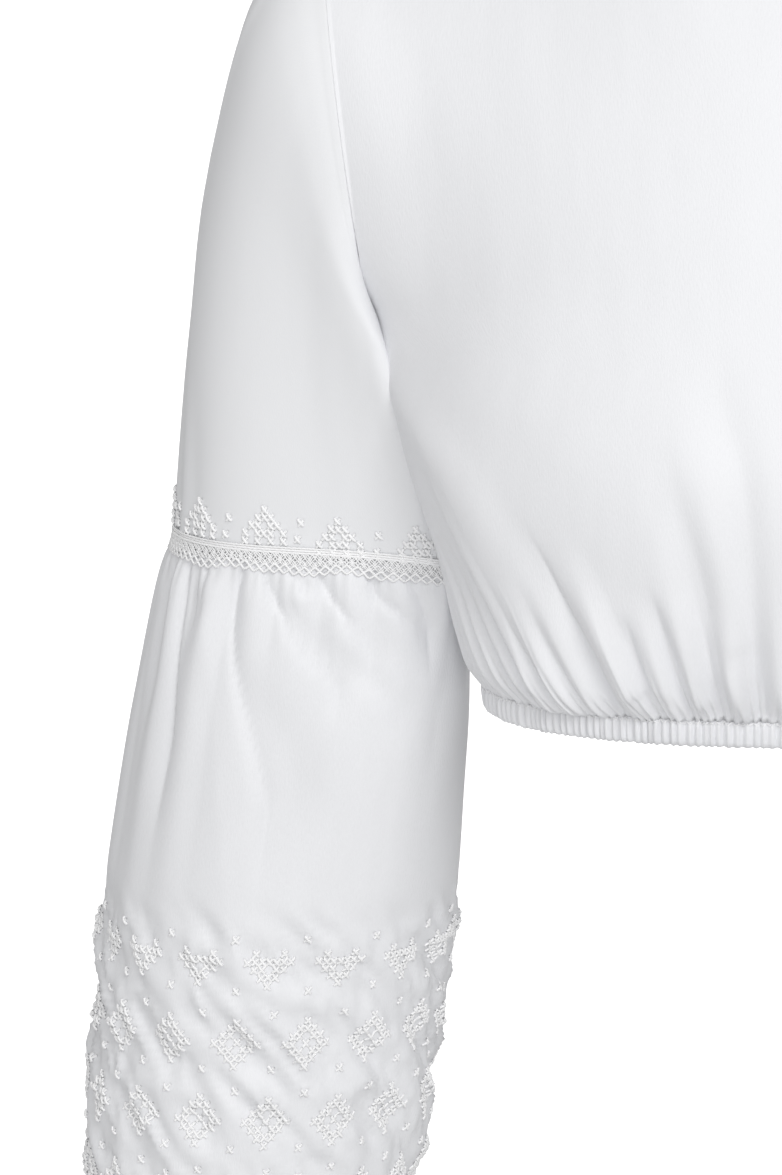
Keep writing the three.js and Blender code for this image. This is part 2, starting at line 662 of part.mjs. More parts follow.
addPiece('front', bodyPanel(FRONT_LEVELS, FRONT_FOLDS, -1), sateen);
addPiece('back', bodyPanel(BACK_LEVELS, BACK_FOLDS, 1), sateen);
addPair('sleeve_upper', upperSleeve(), sheer);
addPair('sleeve_lower', lowerSleeve(), sateen);
addPair('lace_trim', laceTrim(), lace);
addPair('cuff', cuff(), sateen);
addPiece('hem_casing', hemCasing(), sateen);
addPiece('neck_binding', neckBinding(), sateen);

export default blouse;
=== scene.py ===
# %% [markdown]
# This scene dresses a dirndl blouse: a cropped body gathered into a casing under the bust, smooth upper
# sleeves, a narrow lace trim above each elbow, and wide lower sleeves that are embroidered in cross stitch.
# The solids that come with the frame are plain walls of cloth. Each one is replaced here by a thin shell
# on the same form, which carries the creases, gathers, stitches and weave that the eye looks for in cloth.

# %% The frame
import math

import bpy
import numpy as np
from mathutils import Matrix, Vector


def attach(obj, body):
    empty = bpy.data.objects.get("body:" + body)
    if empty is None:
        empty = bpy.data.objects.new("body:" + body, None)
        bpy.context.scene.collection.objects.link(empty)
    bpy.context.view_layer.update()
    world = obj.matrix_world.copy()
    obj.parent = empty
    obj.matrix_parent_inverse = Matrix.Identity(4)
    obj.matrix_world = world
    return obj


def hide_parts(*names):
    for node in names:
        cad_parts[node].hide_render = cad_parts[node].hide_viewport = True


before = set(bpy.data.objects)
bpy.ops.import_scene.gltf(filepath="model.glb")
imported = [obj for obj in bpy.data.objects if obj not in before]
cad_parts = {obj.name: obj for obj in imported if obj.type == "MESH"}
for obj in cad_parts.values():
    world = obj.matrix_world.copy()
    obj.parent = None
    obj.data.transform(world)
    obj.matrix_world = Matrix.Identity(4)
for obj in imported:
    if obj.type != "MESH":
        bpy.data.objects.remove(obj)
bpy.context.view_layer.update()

# %% [markdown]
# The camera comes first, because everything is judged through it. It stands in front of the blouse, a little
# above the shoulders, and looks down at the wearer's right sleeve and half of the front. Its focal length is
# worked out from how many pixels one radian covers, on the image's long side.

# %% Camera
MM = 0.001
IMAGE_HEIGHT = 1175  # pixels
FOCAL_PIXELS = 4550  # pixels of one radian
SENSOR = 36
CAMERA_PLACE = (0, -1.9, 0.08)
CAMERA_TARGET = (-0.164, -0.06, -0.264)


def aim(thing, place, target):
    """Puts a camera or a light at a place and points it at a target."""
    thing.location = place
    away = Vector(target) - Vector(place)
    thing.rotation_euler = away.to_track_quat("-Z", "Y").to_euler()
    bpy.context.scene.collection.objects.link(thing)


lens = bpy.data.cameras.new("camera")
lens.sensor_width = SENSOR
lens.lens = FOCAL_PIXELS / IMAGE_HEIGHT * SENSOR
camera = bpy.data.objects.new("camera", lens)
aim(camera, CAMERA_PLACE, CAMERA_TARGET)
bpy.context.scene.camera = camera
print("focal length:", round(lens.lens, 1), "mm")

# %% [markdown]
# The light is that of a white studio. An even sky lights the cloth from everywhere, and a large soft key
# above the right of the camera gives the folds their slow change from light to shade. A smaller and weaker
# fill beside the camera reaches into the gap between the sleeve and the body. The blouse hangs at the height
# of a wearer's shoulders, so the pale floor lies well below it and only fills the background. To the camera
# the floor glows as white as the paper behind goods in a shop, but no cloth is lit by that glow. The
# Standard view keeps such whites white, where Blender's usual filmic view would turn them grey.

# %% Light and floor
SKY_STRENGTH = 0.54
LAMPS = {  # direction from the blouse, size in metres, power
    "key": ((0.32, -0.78, 0.54), 1.4, 27),
    "fill": ((0.06, -0.97, 0.2), 0.9, 13),
}
LAMP_DISTANCE = 2.8
FLOOR_DEPTH = -1.4
FLOOR_REACH = 60
FLOOR_SHADE = 0.8
FLOOR_ROUGHNESS = 0.9
FLOOR_GLOW = 1

bpy.context.scene.view_settings.view_transform = "Standard"
world = bpy.data.worlds.new("white studio")
bpy.context.scene.world = world
world.use_nodes = True
sky = world.node_tree.nodes["Background"]
sky.inputs["Color"].default_value = (1, 1, 1, 1)
sky.inputs["Strength"].default_value = SKY_STRENGTH

for name, (direction, size, power) in LAMPS.items():
    lamp = bpy.data.lights.new(name, "AREA")
    lamp.shape = "DISK"
    lamp.size = size
    lamp.energy = power
    place = Vector(CAMERA_TARGET) + Vector(direction).normalized() * LAMP_DISTANCE
    aim(bpy.data.objects.new(name, lamp), place, CAMERA_TARGET)

floor_mesh = bpy.data.meshes.new("floor")
floor_mesh.from_pydata([(FLOOR_REACH * x, FLOOR_REACH * y, FLOOR_DEPTH)
                        for x, y in ((-1, -1), (1, -1), (1, 1), (-1, 1))], [], [(0, 1, 2, 3)])
floor = bpy.data.objects.new("floor", floor_mesh)
bpy.context.scene.collection.objects.link(floor)
floor_paint = bpy.data.materials.new("pale floor")
floor_paint.use_nodes = True
floor_shader = floor_paint.node_tree.nodes["Principled BSDF"]
floor_shader.inputs["Base Color"].default_value = (FLOOR_SHADE, FLOOR_SHADE, FLOOR_SHADE, 1)
floor_shader.inputs["Roughness"].default_value = FLOOR_ROUGHNESS
floor_shader.inputs["Emission Color"].default_value = (1, 1, 1, 1)
seen = floor_paint.node_tree.nodes.new("ShaderNodeLightPath")
glow = floor_paint.node_tree.nodes.new("ShaderNodeMath")
glow.operation = "MULTIPLY"
glow.inputs[1].default_value = FLOOR_GLOW
floor_paint.node_tree.links.new(seen.outputs["Is Camera Ray"], glow.inputs[0])
floor_paint.node_tree.links.new(glow.outputs[0], floor_shader.inputs["Emission Strength"])
floor_mesh.materials.append(floor_paint)

# %% [markdown]
# The blouse's form is a few tables of sections. Each row gives a level and the sizes there, in millimetres,
# and a smooth curve runs through every column. They are the tables that the solids were built from, but for
# two places: a panel bends less towards its armholes, and a sleeve is fuller where it lies against the body.
# Numpy reads a column at many levels at once, so a whole panel is a handful of array operations.

# %% Sizes and sections
CLOTH = 0.5  # thickness of the shells that show
SHOULDER_X = 196
NECK_X = 97
NECK_SIDE = (-3, 45)  # y and z of the neckline at the side, and in the middle of front and back
NECK_FRONT = (-68, -12)
NECK_BACK = (58, 28)
NECK_SHARE = 0.46  # share of a panel's top edge that is neckline
NECK_RISE = 2.2  # how late the rows rise towards that edge
EDGE_HOLD = 0.24  # share of a panel over which its armhole edge stays in place
SEAM_HOLD = 0.001  # the same at the shoulder seam
SEAM_FADE = 0.12  # share of the levels above the armpit over which all relief fades into that seam
RISE_BLUR = 0.6  # how far along a row its rise is evened out
BLUR_STEPS = 16
ARMPIT_X = 174
ARMPIT_Z = -165
ARMHOLE_DEPTH = 52
CASING_TOP = -311
CASING_HEIGHT = 10.7
CASING_SLOPE = 1.5  # how far the casing leans in towards its foot
ROW_SAMPLES = 640
TINY = 1e-9


def table(names, *rows):
    """A table as a list of rows, each with its columns by name."""
    return [dict(zip(names, row)) for row in rows]


BODY_SECTIONS = table(
    ("level", "half", "side", "front", "back", "square", "turn", "frontZ", "backZ"),
    (-1.0, 127.5, -15, -95, 55, 2.4, 90, -311, -311),
    (-0.93, 133.5, -15, -103, 62, 2.4, 90, -300.8, -300.8),
    (-0.82, 139.5, -15, -111, 68, 2.3, 90, -284.7, -284.7),
    (-0.66, 145.5, -15, -119, 73, 2.3, 90, -261.4, -261.4),
    (-0.48, 155, -13, -124, 79, 2.3, 90, -235.1, -235.1),
    (-0.31, 163.5, -9, -124, 86, 2.3, 90, -210.3, -210.3),
    (-0.16, 170, -4, -120, 93, 2.3, 90, -188.4, -188.4),
    (0.0, 174, 0, -114, 98, 2.3, 88, -165, -165),
    (0.22, 176.5, 0, -109, 101, 2.1, 58, -137, -132),
    (0.4, 181.6, 0, -103, 101, 2, 42, -106, -96),
    (0.6, 188.4, 0, -94, 95, 2, 40, -72, -54),
    (0.8, 193.9, 0, -82, 82, 2, 42, -40, -12),
    (1.0, 196, 0, -68, 58, 2, 46, -12, 28),
)
SLEEVE_SECTIONS = table(
    ("level", "outX", "outZ", "inX", "inZ", "depth", "back", "tuck", "corner", "outer", "push"),
    (0.0, -196, 0, -174, -165, 52, 0, 0, 0, 0, 0),
    (0.05, -202.5, -1.5, -174.7, -168.6, 53, 1, 5, 0.02, 0.01, 5),
    (0.1, -209, -3.5, -175.2, -172, 54, 2, 9, 0.04, 0.02, 7),
    (0.2, -220, -13.5, -175.2, -180, 55.5, 5, 15, 0.07, 0.05, 10),
    (0.32, -231, -34, -173, -189, 56.5, 10, 19, 0.1, 0.08, 10.5),
    (0.48, -241.5, -72, -168.5, -203, 57.5, 17, 23, 0.12, 0.1, 9),
    (0.64, -251, -118, -162.5, -219, 58.5, 23.5, 24, 0.12, 0.1, 8),
    (0.8, -258, -172, -154, -236, 59.5, 29.5, 24, 0.12, 0.1, 6),
    (0.92, -263, -226, -148, -251, 60, 34, 22, 0.12, 0.08, 6),
    (1.0, -266.8, -260, -144.5, -260, 60, 36, 20, 0.12, 0.06, 6),
    (1.04, -270, -268, -143, -268, 61.5, 36.5, 17, 0.12, 0.05, 6),
    (1.12, -276, -290, -140, -290, 64, 37.5, 10, 0.12, 0.03, 4),
    (1.25, -285.5, -330, -138.5, -330, 67, 39, 3, 0.11, 0, 2),
    (1.4, -293.5, -374, -141, -374, 69, 41, 0, 0.08, 0, 0),
    (1.55, -300.5, -420, -144, -420, 70.5, 43, 0, 0.03, 0, 0),
    (1.7, -306, -470, -149, -470, 71, 45, 0, 0, 0, 0),
    (1.84, -310.5, -522, -156, -522, 70, 46, 0, 0, 0, 0),
    (1.92, -309, -553, -163, -553, 66, 46, 0, 0, 0, 0),
    (1.97, -298, -575, -176, -575, 55, 46, 0, 0, 0, 0),
    (2.0, -270, -588, -204, -588, 33, 46, 0, 0, 0, 0),
)


def mix(low, high, share):
    return low + (high - low) * share


def ease(share):
    """A soft start and a soft end between 0 and 1."""
    share = np.clip(share, 0, 1)
    return share * share * (3 - 2 * share)


def smooth_curve(at, value, where):
    """A smooth curve through values at rising places, read at many other places."""
    slope = np.empty(len(at))
    slope[1:-1] = (value[2:] - value[:-2]) / (at[2:] - at[:-2])
    slope[0] = (value[1] - value[0]) / (at[1] - at[0])
    slope[-1] = (value[-1] - value[-2]) / (at[-1] - at[-2])
    where = np.clip(where, at[0], at[-1])
    row = np.clip(np.searchsorted(at, where, side="right") - 1, 0, len(at) - 2)
    span = at[row + 1] - at[row]
    t = (where - at[row]) / span
    t2, t3 = t * t, t * t * t
    return ((2 * t3 - 3 * t2 + 1) * value[row] + (t3 - 2 * t2 + t) * span * slope[row]
            + (3 * t2 - 2 * t3) * value[row + 1] + (t3 - t2) * span * slope[row + 1])


def column(sections, name, levels):
    """One column of a table of sections, read at many levels."""
    at = np.array([row["level"] for row in sections], float)
    value = np.array([row[name] for row in sections], float)
    return smooth_curve(at, value, levels)


print("sections:", len(BODY_SECTIONS), "of the body,", len(SLEEVE_SECTIONS), "of a sleeve")

# %% [markdown]
# A panel is a grid of points. Each row follows one section from side seam to side seam in even steps along
# its arc, and above the armpits the rows are lifted towards the shoulder seams and the neckline. The real
# panel is cut flat and gets its roundness from its gathers, so no seam or dart interrupts the surface.

# %% The surface of a body panel
def armhole_point(level, facing):
    """A point of the armhole seam, half an oval from the armpit (0) to the shoulder (1)."""
    angle = math.radians(mix(-90, 90, level))
    rise = (1 + math.sin(angle)) / 2
    return np.array([-mix(ARMPIT_X, SHOULDER_X, rise), facing * ARMHOLE_DEPTH * math.cos(angle),
                     mix(ARMPIT_Z, 0, rise)])


def neck_points(turn, facing):
    """The neckline: 0 degrees at the wearer's right side, 90 at the middle of the front or the back."""
    middle = NECK_FRONT if facing < 0 else NECK_BACK
    angle = np.radians(turn)
    return np.stack([-NECK_X * np.cos(angle), mix(NECK_SIDE[0], middle[0], np.sin(angle)),
                     mix(NECK_SIDE[1], middle[1], np.sin(angle) ** 2)], -1)


def top_edge(across, facing):
    """Shoulder seam, neckline and shoulder seam, for places from -1 to 1."""
    place = np.abs(across)
    neck = neck_points(90 - 90 * np.minimum(place / NECK_SHARE, 1), facing)
    shoulder = np.array([-SHOULDER_X, 0, 0])
    share = np.clip((place - NECK_SHARE) / (1 - NECK_SHARE), 0, 1)[..., None]
    points = mix(neck, shoulder, share)
    points[..., 0] *= np.where(across < 0, 1, -1)
    return points


def section_points(across, level, facing):
    """Points evenly spaced by arc along one section, before the lift above the armpits."""
    def read(name):
        return float(column(BODY_SECTIONS, name, level))
    if level > 0:
        edge = armhole_point(level, facing)
    else:
        edge = np.array([-read("half"), read("side"), mix(ARMPIT_Z, CASING_TOP, -level)])
    turn = math.radians(read("turn"))
    power = 2 / read("square")
    angle = turn * np.linspace(-1, 1, ROW_SAMPLES + 1)
    sine = np.sin(angle) / math.sin(turn)
    wide = np.sign(sine) * np.abs(sine) ** power
    deep = np.maximum(0, (np.cos(angle) - math.cos(turn)) / (1 - math.cos(turn))) ** power
    line = np.stack([-edge[0] * wide, mix(edge[1], read("front" if facing < 0 else "back"), deep),
                     mix(edge[2], read("frontZ" if facing < 0 else "backZ"), deep)], -1)
    lengths = np.concatenate([[0], np.cumsum(np.linalg.norm(np.diff(line, axis=0), axis=1))])
    wanted = np.clip((across + 1) / 2, 0, 1) * lengths[-1]
    return np.stack([np.interp(wanted, lengths, line[:, axis]) for axis in range(3)], -1)


def panel_row(across, level, facing):
    """One row of a panel, lifted towards the shoulders and the neck where it lies above the armpits."""
    points = section_points(across, level, facing)
    if level <= 0:
        return points
    blur = RISE_BLUR * math.sqrt(1 - level)
    lift = np.zeros_like(points)
    weights = 0
    for step in range(-BLUR_STEPS, BLUR_STEPS + 1):
        place = across + blur * step / BLUR_STEPS
        nearby = np.where(place < -1, -2 - place, np.where(place > 1, 2 - place, place))
        weight = BLUR_STEPS + 1 - abs(step)
        lift += weight * (top_edge(nearby, facing) - section_points(nearby, 1, facing))
        weights += weight
    hold = ease((1 - np.abs(across)) / mix(EDGE_HOLD, SEAM_HOLD, level ** 4))
    return points + lift * (hold * level ** NECK_RISE / weights)[:, None]


def normals_of(points, tube):
    """Unit normals of a grid of points: rows go down the cloth, and a tube's columns close on themselves."""
    if tube:
        along = np.roll(points, -1, axis=1) - np.roll(points, 1, axis=1)
    else:
        along = np.gradient(points, axis=1)
    normal = np.cross(along, np.gradient(points, axis=0))
    return normal / np.maximum(np.linalg.norm(normal, axis=-1, keepdims=True), TINY)


# %% [markdown]
# Cloth moves in three sizes at once. Broad folds run up from the casing at the same places as in the solids.
# On them lie single creases, each drawn as a path with a depth, a left and a right width and a power that
# makes its crest round (2) or crisp (1). Close to a row of gathering there are also many small gathers, a
# few millimetres apart, whose places and lengths are drawn at random from a fixed seed.

# %% Relief of folds, creases and gathers
FOLD_PEAK = 14  # millimetres from the seam to where a fold is highest
FOLD_START = 0.2  # share of its height that a fold has at the seam
FOLD_ROUND = 0.75  # 1 is an even wave, 0 has creased troughs
SLEEVE_ROUND = 0.7
GATHER_ROUND = 0.35
RIDGE_ROUND = 0.3
TOP_WIDENING = 0.9  # a crease of the body opens upwards, one under the lace opens downwards
FOOT_WIDENING = 1.3
GATHER_UNEVEN = (0.6, 1.5)  # the narrowest and the widest gather, against the pitch
GATHER_DIP = 0.9  # depth of a trough against the height of a crest
LONG_GATHER = 1.9  # one gather in four reaches so much further


def swell(distance, peak, reach, start):
    """A fold's strength at a distance from its seam: it swells to its peak and dies out at its reach."""
    rising = mix(start, 1, ease(distance / peak))
    falling = 1 - ease((distance - peak) / np.maximum(reach - peak, 1e-6))
    return np.where(distance < peak, rising, falling)


def fold_lines(folds, end):
    """Crests and troughs in order, as (place, signed height, reach)."""
    lines = []
    for index, fold in enumerate(folds):
        following = folds[index + 1]["at"] if index + 1 < len(folds) else end
        lines.append((fold["at"], fold["crest"], fold["reach"]))
        lines.append(((fold["at"] + following) / 2, -fold["dip"], fold["dipReach"]))
    return lines


def relief_between(places, lines, strength, round_share):
    """Heights between crests and troughs. round_share 1 gives even waves, 0 gives creased troughs."""
    at = np.array([line[0] for line in lines], float)
    height = np.array([line[1] for line in lines], float) * strength
    left = np.clip(np.searchsorted(at, places, side="right") - 1, 0, len(at) - 2)
    t = np.clip((places - at[left]) / (at[left + 1] - at[left]), 0, 1)
    rising = height[:, left] < height[:, left + 1]
    creased = np.where(rising, np.sin(t * math.pi / 2), 1 - np.cos(t * math.pi / 2))
    share = mix(creased, ease(t), round_share)
    return mix(height[:, left], height[:, left + 1], share)


def random_gathers(seed, start, end, pitch, heights, reaches):
    """Small gathers side by side as (place, signed height, reach), uneven as a thread leaves them."""
    draw = np.random.default_rng(seed)
    count = round((end - start) / pitch)
    steps = draw.uniform(*GATHER_UNEVEN, 2 * count)
    places = start + (end - start) * np.concatenate([[0], np.cumsum(steps)]) / steps.sum()
    lines = []
    for index, place in enumerate(places):
        height = draw.uniform(*heights) * (1 if index % 2 else -GATHER_DIP)
        lines.append((place, height, draw.uniform(*reaches) * draw.choice([1, 1, 1, LONG_GATHER])))
    lines[0] = (start, 0, 1)
    lines[-1] = (end, 0, 1)
    return lines


def gather_strength(distance, lines, peak, start):
    """How strong each gather is at each distance from its seam."""
    reach = np.array([line[2] for line in lines], float)
    return swell(distance[:, None], peak, reach[None, :], start)


CREASE_COLUMNS = ("depth", "left", "right", "power", "fade", "end", "path")


def crease_relief(across, z, scale, creases, opens_down=False):
    """The relief of creases drawn as paths of (place, z). fade and end soften their upper and lower ends."""
    relief = np.zeros(across.shape)
    for crease in creases:
        path = np.array(sorted(crease["path"], key=lambda point: point[1]), float)
        low, high = path[0, 1], path[-1, 1]
        centre = smooth_curve(path[:, 1], path[:, 0], z)
        away = (across - centre) * scale
        along = np.clip((z - low) / (high - low), 0, 1)
        widening = FOOT_WIDENING * (1 - along) if opens_down else TOP_WIDENING * along
        wide = np.where(away < 0, crease["left"], crease["right"]) * (1 + widening)
        strength = ease((high - z) / crease["fade"])
        if crease["end"]:
            strength = strength * ease((z - low + crease["end"]) / crease["end"])
        relief += crease["depth"] * strength * np.exp(-(np.abs(away) / wide) ** crease["power"])
    return relief


# %% [markdown]
# Every piece of cloth becomes one closed shell: the shaped grid outside, a second grid half a millimetre
# further in, and narrow rims between them. Its faces are shaded smooth, and a UV map in metres follows the
# threads of the cloth, so that the weave keeps its size and direction round every curve.

# %% Building a shell
def quads_of(rows, columns, tube):
    """The faces of a grid, as four point numbers each."""
    place = np.arange(rows * columns).reshape(rows, columns)
    if tube:
        place = np.concatenate([place, place[:, :1]], axis=1)
    return np.stack([place[:-1, :-1], place[:-1, 1:], place[1:, 1:], place[1:, :-1]], -1).reshape(-1, 4)


def add_mesh(name, points, faces, uv=None):
    """A smooth mesh from points in millimetres and faces of four, turned the right way out."""
    corners = points[faces]
    volume = np.einsum("ij,ij->i", corners[:, 0], np.cross(corners[:, 1], corners[:, 2])).sum()
    volume += np.einsum("ij,ij->i", corners[:, 0], np.cross(corners[:, 2], corners[:, 3])).sum()
    if volume < 0:
        faces = faces[:, ::-1]
        uv = None if uv is None else uv[:, ::-1]
    mesh = bpy.data.meshes.new(name)
    mesh.from_pydata((points * MM).tolist(), [], faces.tolist())
    mesh.polygons.foreach_set("use_smooth", np.ones(len(faces), bool))
    if uv is not None:
        layer = mesh.uv_layers.new(name="threads")
        layer.data.foreach_set("uv", (uv * MM).astype(np.float32).ravel())
    mesh.update()
    piece = bpy.data.objects.new(name, mesh)
    bpy.context.scene.collection.objects.link(piece)
    return piece


def cloth_shell(name, outer, inner, threads, tube):
    """A thin closed wall between two grids. threads holds each point's place on the flat cloth."""
    rows, columns = outer.shape[:2]
    half = rows * columns
    points = np.concatenate([outer.reshape(-1, 3), inner.reshape(-1, 3)])
    outside = quads_of(rows, columns, tube)
    flat = np.stack([threads[:-1, :-1], threads[:-1, 1:], threads[1:, 1:], threads[1:, :-1]], 2)
    flat = flat.reshape(-1, 4, 2)
    faces = [outside, outside[:, ::-1] + half]
    uvs = [flat, flat[:, ::-1]]
    place = np.arange(half).reshape(rows, columns)
    if tube:
        place = np.concatenate([place, place[:, :1]], axis=1)
    edges = [(place[0], threads[0], True), (place[-1], threads[-1], False)]
    if not tube:
        edges += [(place[:, 0], threads[:, 0], False), (place[:, -1], threads[:, -1], True)]
    for line, flat_line, forwards in edges:
        rim = np.stack([line[:-1], line[:-1] + half, line[1:] + half, line[1:]], -1)
        rim_uv = np.stack([flat_line[:-1], flat_line[:-1], flat_line[1:], flat_line[1:]], 1)
        faces.append(rim if forwards else rim[:, ::-1])
        uvs.append(rim_uv if forwards else rim_uv[:, ::-1])
    return add_mesh(name, points, np.concatenate(faces), np.concatenate(uvs))


total_triangles = 0


def finish_piece(piece, node, material):
    """Dresses a piece, puts it in its node's place and counts its triangles."""
    global total_triangles
    piece.data.materials.append(material)
    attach(piece, "root")
    if node:
        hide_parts(node)
    triangles = sum(len(face.vertices) - 2 for face in piece.data.polygons)
    total_triangles += triangles
    print(f"{piece.name}: {triangles} triangles")


def sheet_area(piece):
    """Half of a thin shell's surface, in square metres."""
    return sum(face.area for face in piece.data.polygons) / 2


# %% [markdown]
# Sateen shows no single threads from a step away. What shows is a soft sheen, and a faint diagonal grain
# where the long floats of the weave catch the light unevenly. One node group makes that grain from two
# stretched noises along the threads' UV map, and each cloth uses it with its own size and strength.

# %% The weave as a node group
GRAIN_TURN = 38  # degrees between the grain and the threads
GRAIN_STRETCH = 0.28
GRAIN_DETAIL = 2.0
CLOUD_SCALE = 90.0
CLOUD_DETAIL = 3.0
GLOSS_CHANGE = 0.18


def new_group(name, inputs, outputs):
    """A node group with its sockets, and its two end nodes."""
    group = bpy.data.node_groups.new(name, "ShaderNodeTree")
    for label, kind, value in inputs:
        socket = group.interface.new_socket(name=label, in_out="INPUT", socket_type=kind)
        socket.default_value = value
    for label, kind in outputs:
        group.interface.new_socket(name=label, in_out="OUTPUT", socket_type=kind)
    return group, group.nodes.new("NodeGroupInput"), group.nodes.new("NodeGroupOutput")


def add_node(tree, kind, links=None, **settings):
    """A node with its settings and with sockets filled by name: a value, or another node's output."""
    node = tree.nodes.new(kind)
    for name, value in settings.items():
        setattr(node, name, value)
    for name, value in (links or {}).items():
        socket = node.inputs[name]
        if isinstance(value, bpy.types.NodeSocket):
            tree.links.new(value, socket)
        else:
            socket.default_value = value
    return node


def weave_group():
    """Colour, roughness and height of a cloth's grain."""
    group, given, result = new_group(
        "sateen weave",
        [("Color", "NodeSocketColor", (0.8, 0.8, 0.8, 1)), ("Threads", "NodeSocketFloat", 1500.0),
         ("Mottle", "NodeSocketFloat", 0.03), ("Roughness", "NodeSocketFloat", 0.5)],
        [("Color", "NodeSocketColor"), ("Roughness", "NodeSocketFloat"), ("Height", "NodeSocketFloat")])
    flat = add_node(group, "ShaderNodeUVMap", uv_map="threads")
    turned = add_node(group, "ShaderNodeMapping", {"Vector": flat.outputs["UV"]})
    turned.inputs["Rotation"].default_value = (0, 0, math.radians(GRAIN_TURN))
    turned.inputs["Scale"].default_value = (1, GRAIN_STRETCH, 1)
    grain = add_node(group, "ShaderNodeTexNoise", {
        "Vector": turned.outputs["Vector"], "Scale": given.outputs["Threads"], "Detail": GRAIN_DETAIL})
    cloud = add_node(group, "ShaderNodeTexNoise", {
        "Vector": turned.outputs["Vector"], "Scale": CLOUD_SCALE, "Detail": CLOUD_DETAIL})
    both = add_node(group, "ShaderNodeMath", {0: grain.outputs["Fac"], 1: cloud.outputs["Fac"]},
                    operation="ADD")
    centred = add_node(group, "ShaderNodeMath", {0: both.outputs[0], 1: 1.0}, operation="SUBTRACT")
    shade = add_node(group, "ShaderNodeMath", {
        0: centred.outputs[0], 1: given.outputs["Mottle"], 2: 1.0}, operation="MULTIPLY_ADD")
    tinted = add_node(group, "ShaderNodeVectorMath", {
        0: given.outputs["Color"], "Scale": shade.outputs[0]}, operation="SCALE")
    rough = add_node(group, "ShaderNodeMath", {
        0: centred.outputs[0], 1: GLOSS_CHANGE, 2: given.outputs["Roughness"]}, operation="MULTIPLY_ADD")
    group.links.new(tinted.outputs["Vector"], result.inputs["Color"])
    group.links.new(rough.outputs[0], result.inputs["Roughness"])
    group.links.new(grain.outputs["Fac"], result.inputs["Height"])
    return group


WEAVE = weave_group()
print("weave group:", [item.name for item in WEAVE.interface.items_tree])

# %% [markdown]
# Each cloth is one Principled shader round that group. The body and the lower sleeves are a white sateen,
# the upper sleeves a finer and duller cloth, and the lace and the embroidery are matt thread. All of them
# are white, so what tells them apart is how far they scatter light: hence the sheen and the low gloss.

# %% Cloth materials
SHEEN_ROUGHNESS = 0.45
GLOSS = 0.35
GRAIN_DEPTH = 0.0003  # metres


def cloth_material(name, color, threads, mottle, roughness, sheen, bump):
    """threads is the grain's fineness, as repeats in a metre."""
    material = bpy.data.materials.new(name)
    material.use_nodes = True
    tree = material.node_tree
    shader = tree.nodes["Principled BSDF"]
    weave = add_node(tree, "ShaderNodeGroup", node_tree=WEAVE)
    weave.inputs["Color"].default_value = color
    weave.inputs["Threads"].default_value = threads
    weave.inputs["Mottle"].default_value = mottle
    weave.inputs["Roughness"].default_value = roughness
    relief = add_node(tree, "ShaderNodeBump", {
        "Height": weave.outputs["Height"], "Strength": bump, "Distance": GRAIN_DEPTH})
    tree.links.new(weave.outputs["Color"], shader.inputs["Base Color"])
    tree.links.new(weave.outputs["Roughness"], shader.inputs["Roughness"])
    tree.links.new(relief.outputs["Normal"], shader.inputs["Normal"])
    shader.inputs["Sheen Weight"].default_value = sheen
    shader.inputs["Sheen Roughness"].default_value = SHEEN_ROUGHNESS
    shader.inputs["Specular IOR Level"].default_value = GLOSS
    return material


SATEEN = cloth_material("sateen", (0.86, 0.865, 0.885, 1), 1500, 0.055, 0.48, 0.12, 0.45)
SHEER = cloth_material("sheer", (0.85, 0.856, 0.872, 1), 2200, 0.02, 0.58, 0.1, 0.2)
THREAD = cloth_material("thread", (0.98, 0.98, 0.985, 1), 2600, 0.02, 0.6, 0.6, 0.2)
print("cloth materials:", SATEEN.name, SHEER.name, THREAD.name)

# %% [markdown]
# The front is the piece that shows best. Its broad folds repeat the solids' table. Its creases were mapped:
# a crease of negative depth is a dark trough that runs down to the casing, and one of positive depth is a
# bright ridge between two of them. A few long soft ones start high on the bust and beside the armhole.
# The other half of the front gets similar ones of its own.

# %% Folds of the front
FRONT_FOLDS = table(
    ("at", "crest", "reach", "dip", "dipReach"),
    (-0.95, 1.7, 60, 1.4, 55),
    (-0.88, 2.0, 80, 1.7, 60),
    (-0.81, 1.8, 50, 1.6, 70),
    (-0.74, 2.3, 95, 1.8, 60),
    (-0.68, 1.8, 60, 1.9, 80),
    (-0.62, 2.4, 75, 2.2, 60),
    (-0.56, 2.6, 120, 2.0, 45),
    (-0.49, 2.2, 60, 1.7, 50),
    (-0.43, 2.6, 70, 1.6, 60),
    (-0.335, 4.3, 85, 2.4, 50),
    (-0.25, 2.9, 60, 2.6, 60),
    (-0.19, 2.4, 75, 3.1, 120),
    (-0.105, 3.4, 50, 2.9, 145),
    (-0.02, 2.6, 70, 2.4, 60),
    (0.06, 3.2, 90, 2.9, 120),
    (0.14, 2.5, 60, 2.4, 55),
    (0.22, 2.9, 75, 2.6, 100),
    (0.3, 3.8, 90, 2.9, 60),
    (0.39, 2.6, 60, 2.4, 80),
    (0.46, 2.3, 80, 1.9, 55),
    (0.53, 2.6, 115, 2.2, 60),
    (0.6, 2.0, 60, 2.0, 75),
    (0.67, 2.4, 90, 1.8, 55),
    (0.74, 1.8, 55, 1.8, 70),
    (0.81, 2.2, 80, 1.6, 60),
    (0.88, 1.8, 60, 1.6, 50),
    (0.95, 1.6, 65, 0.0, 40),
)
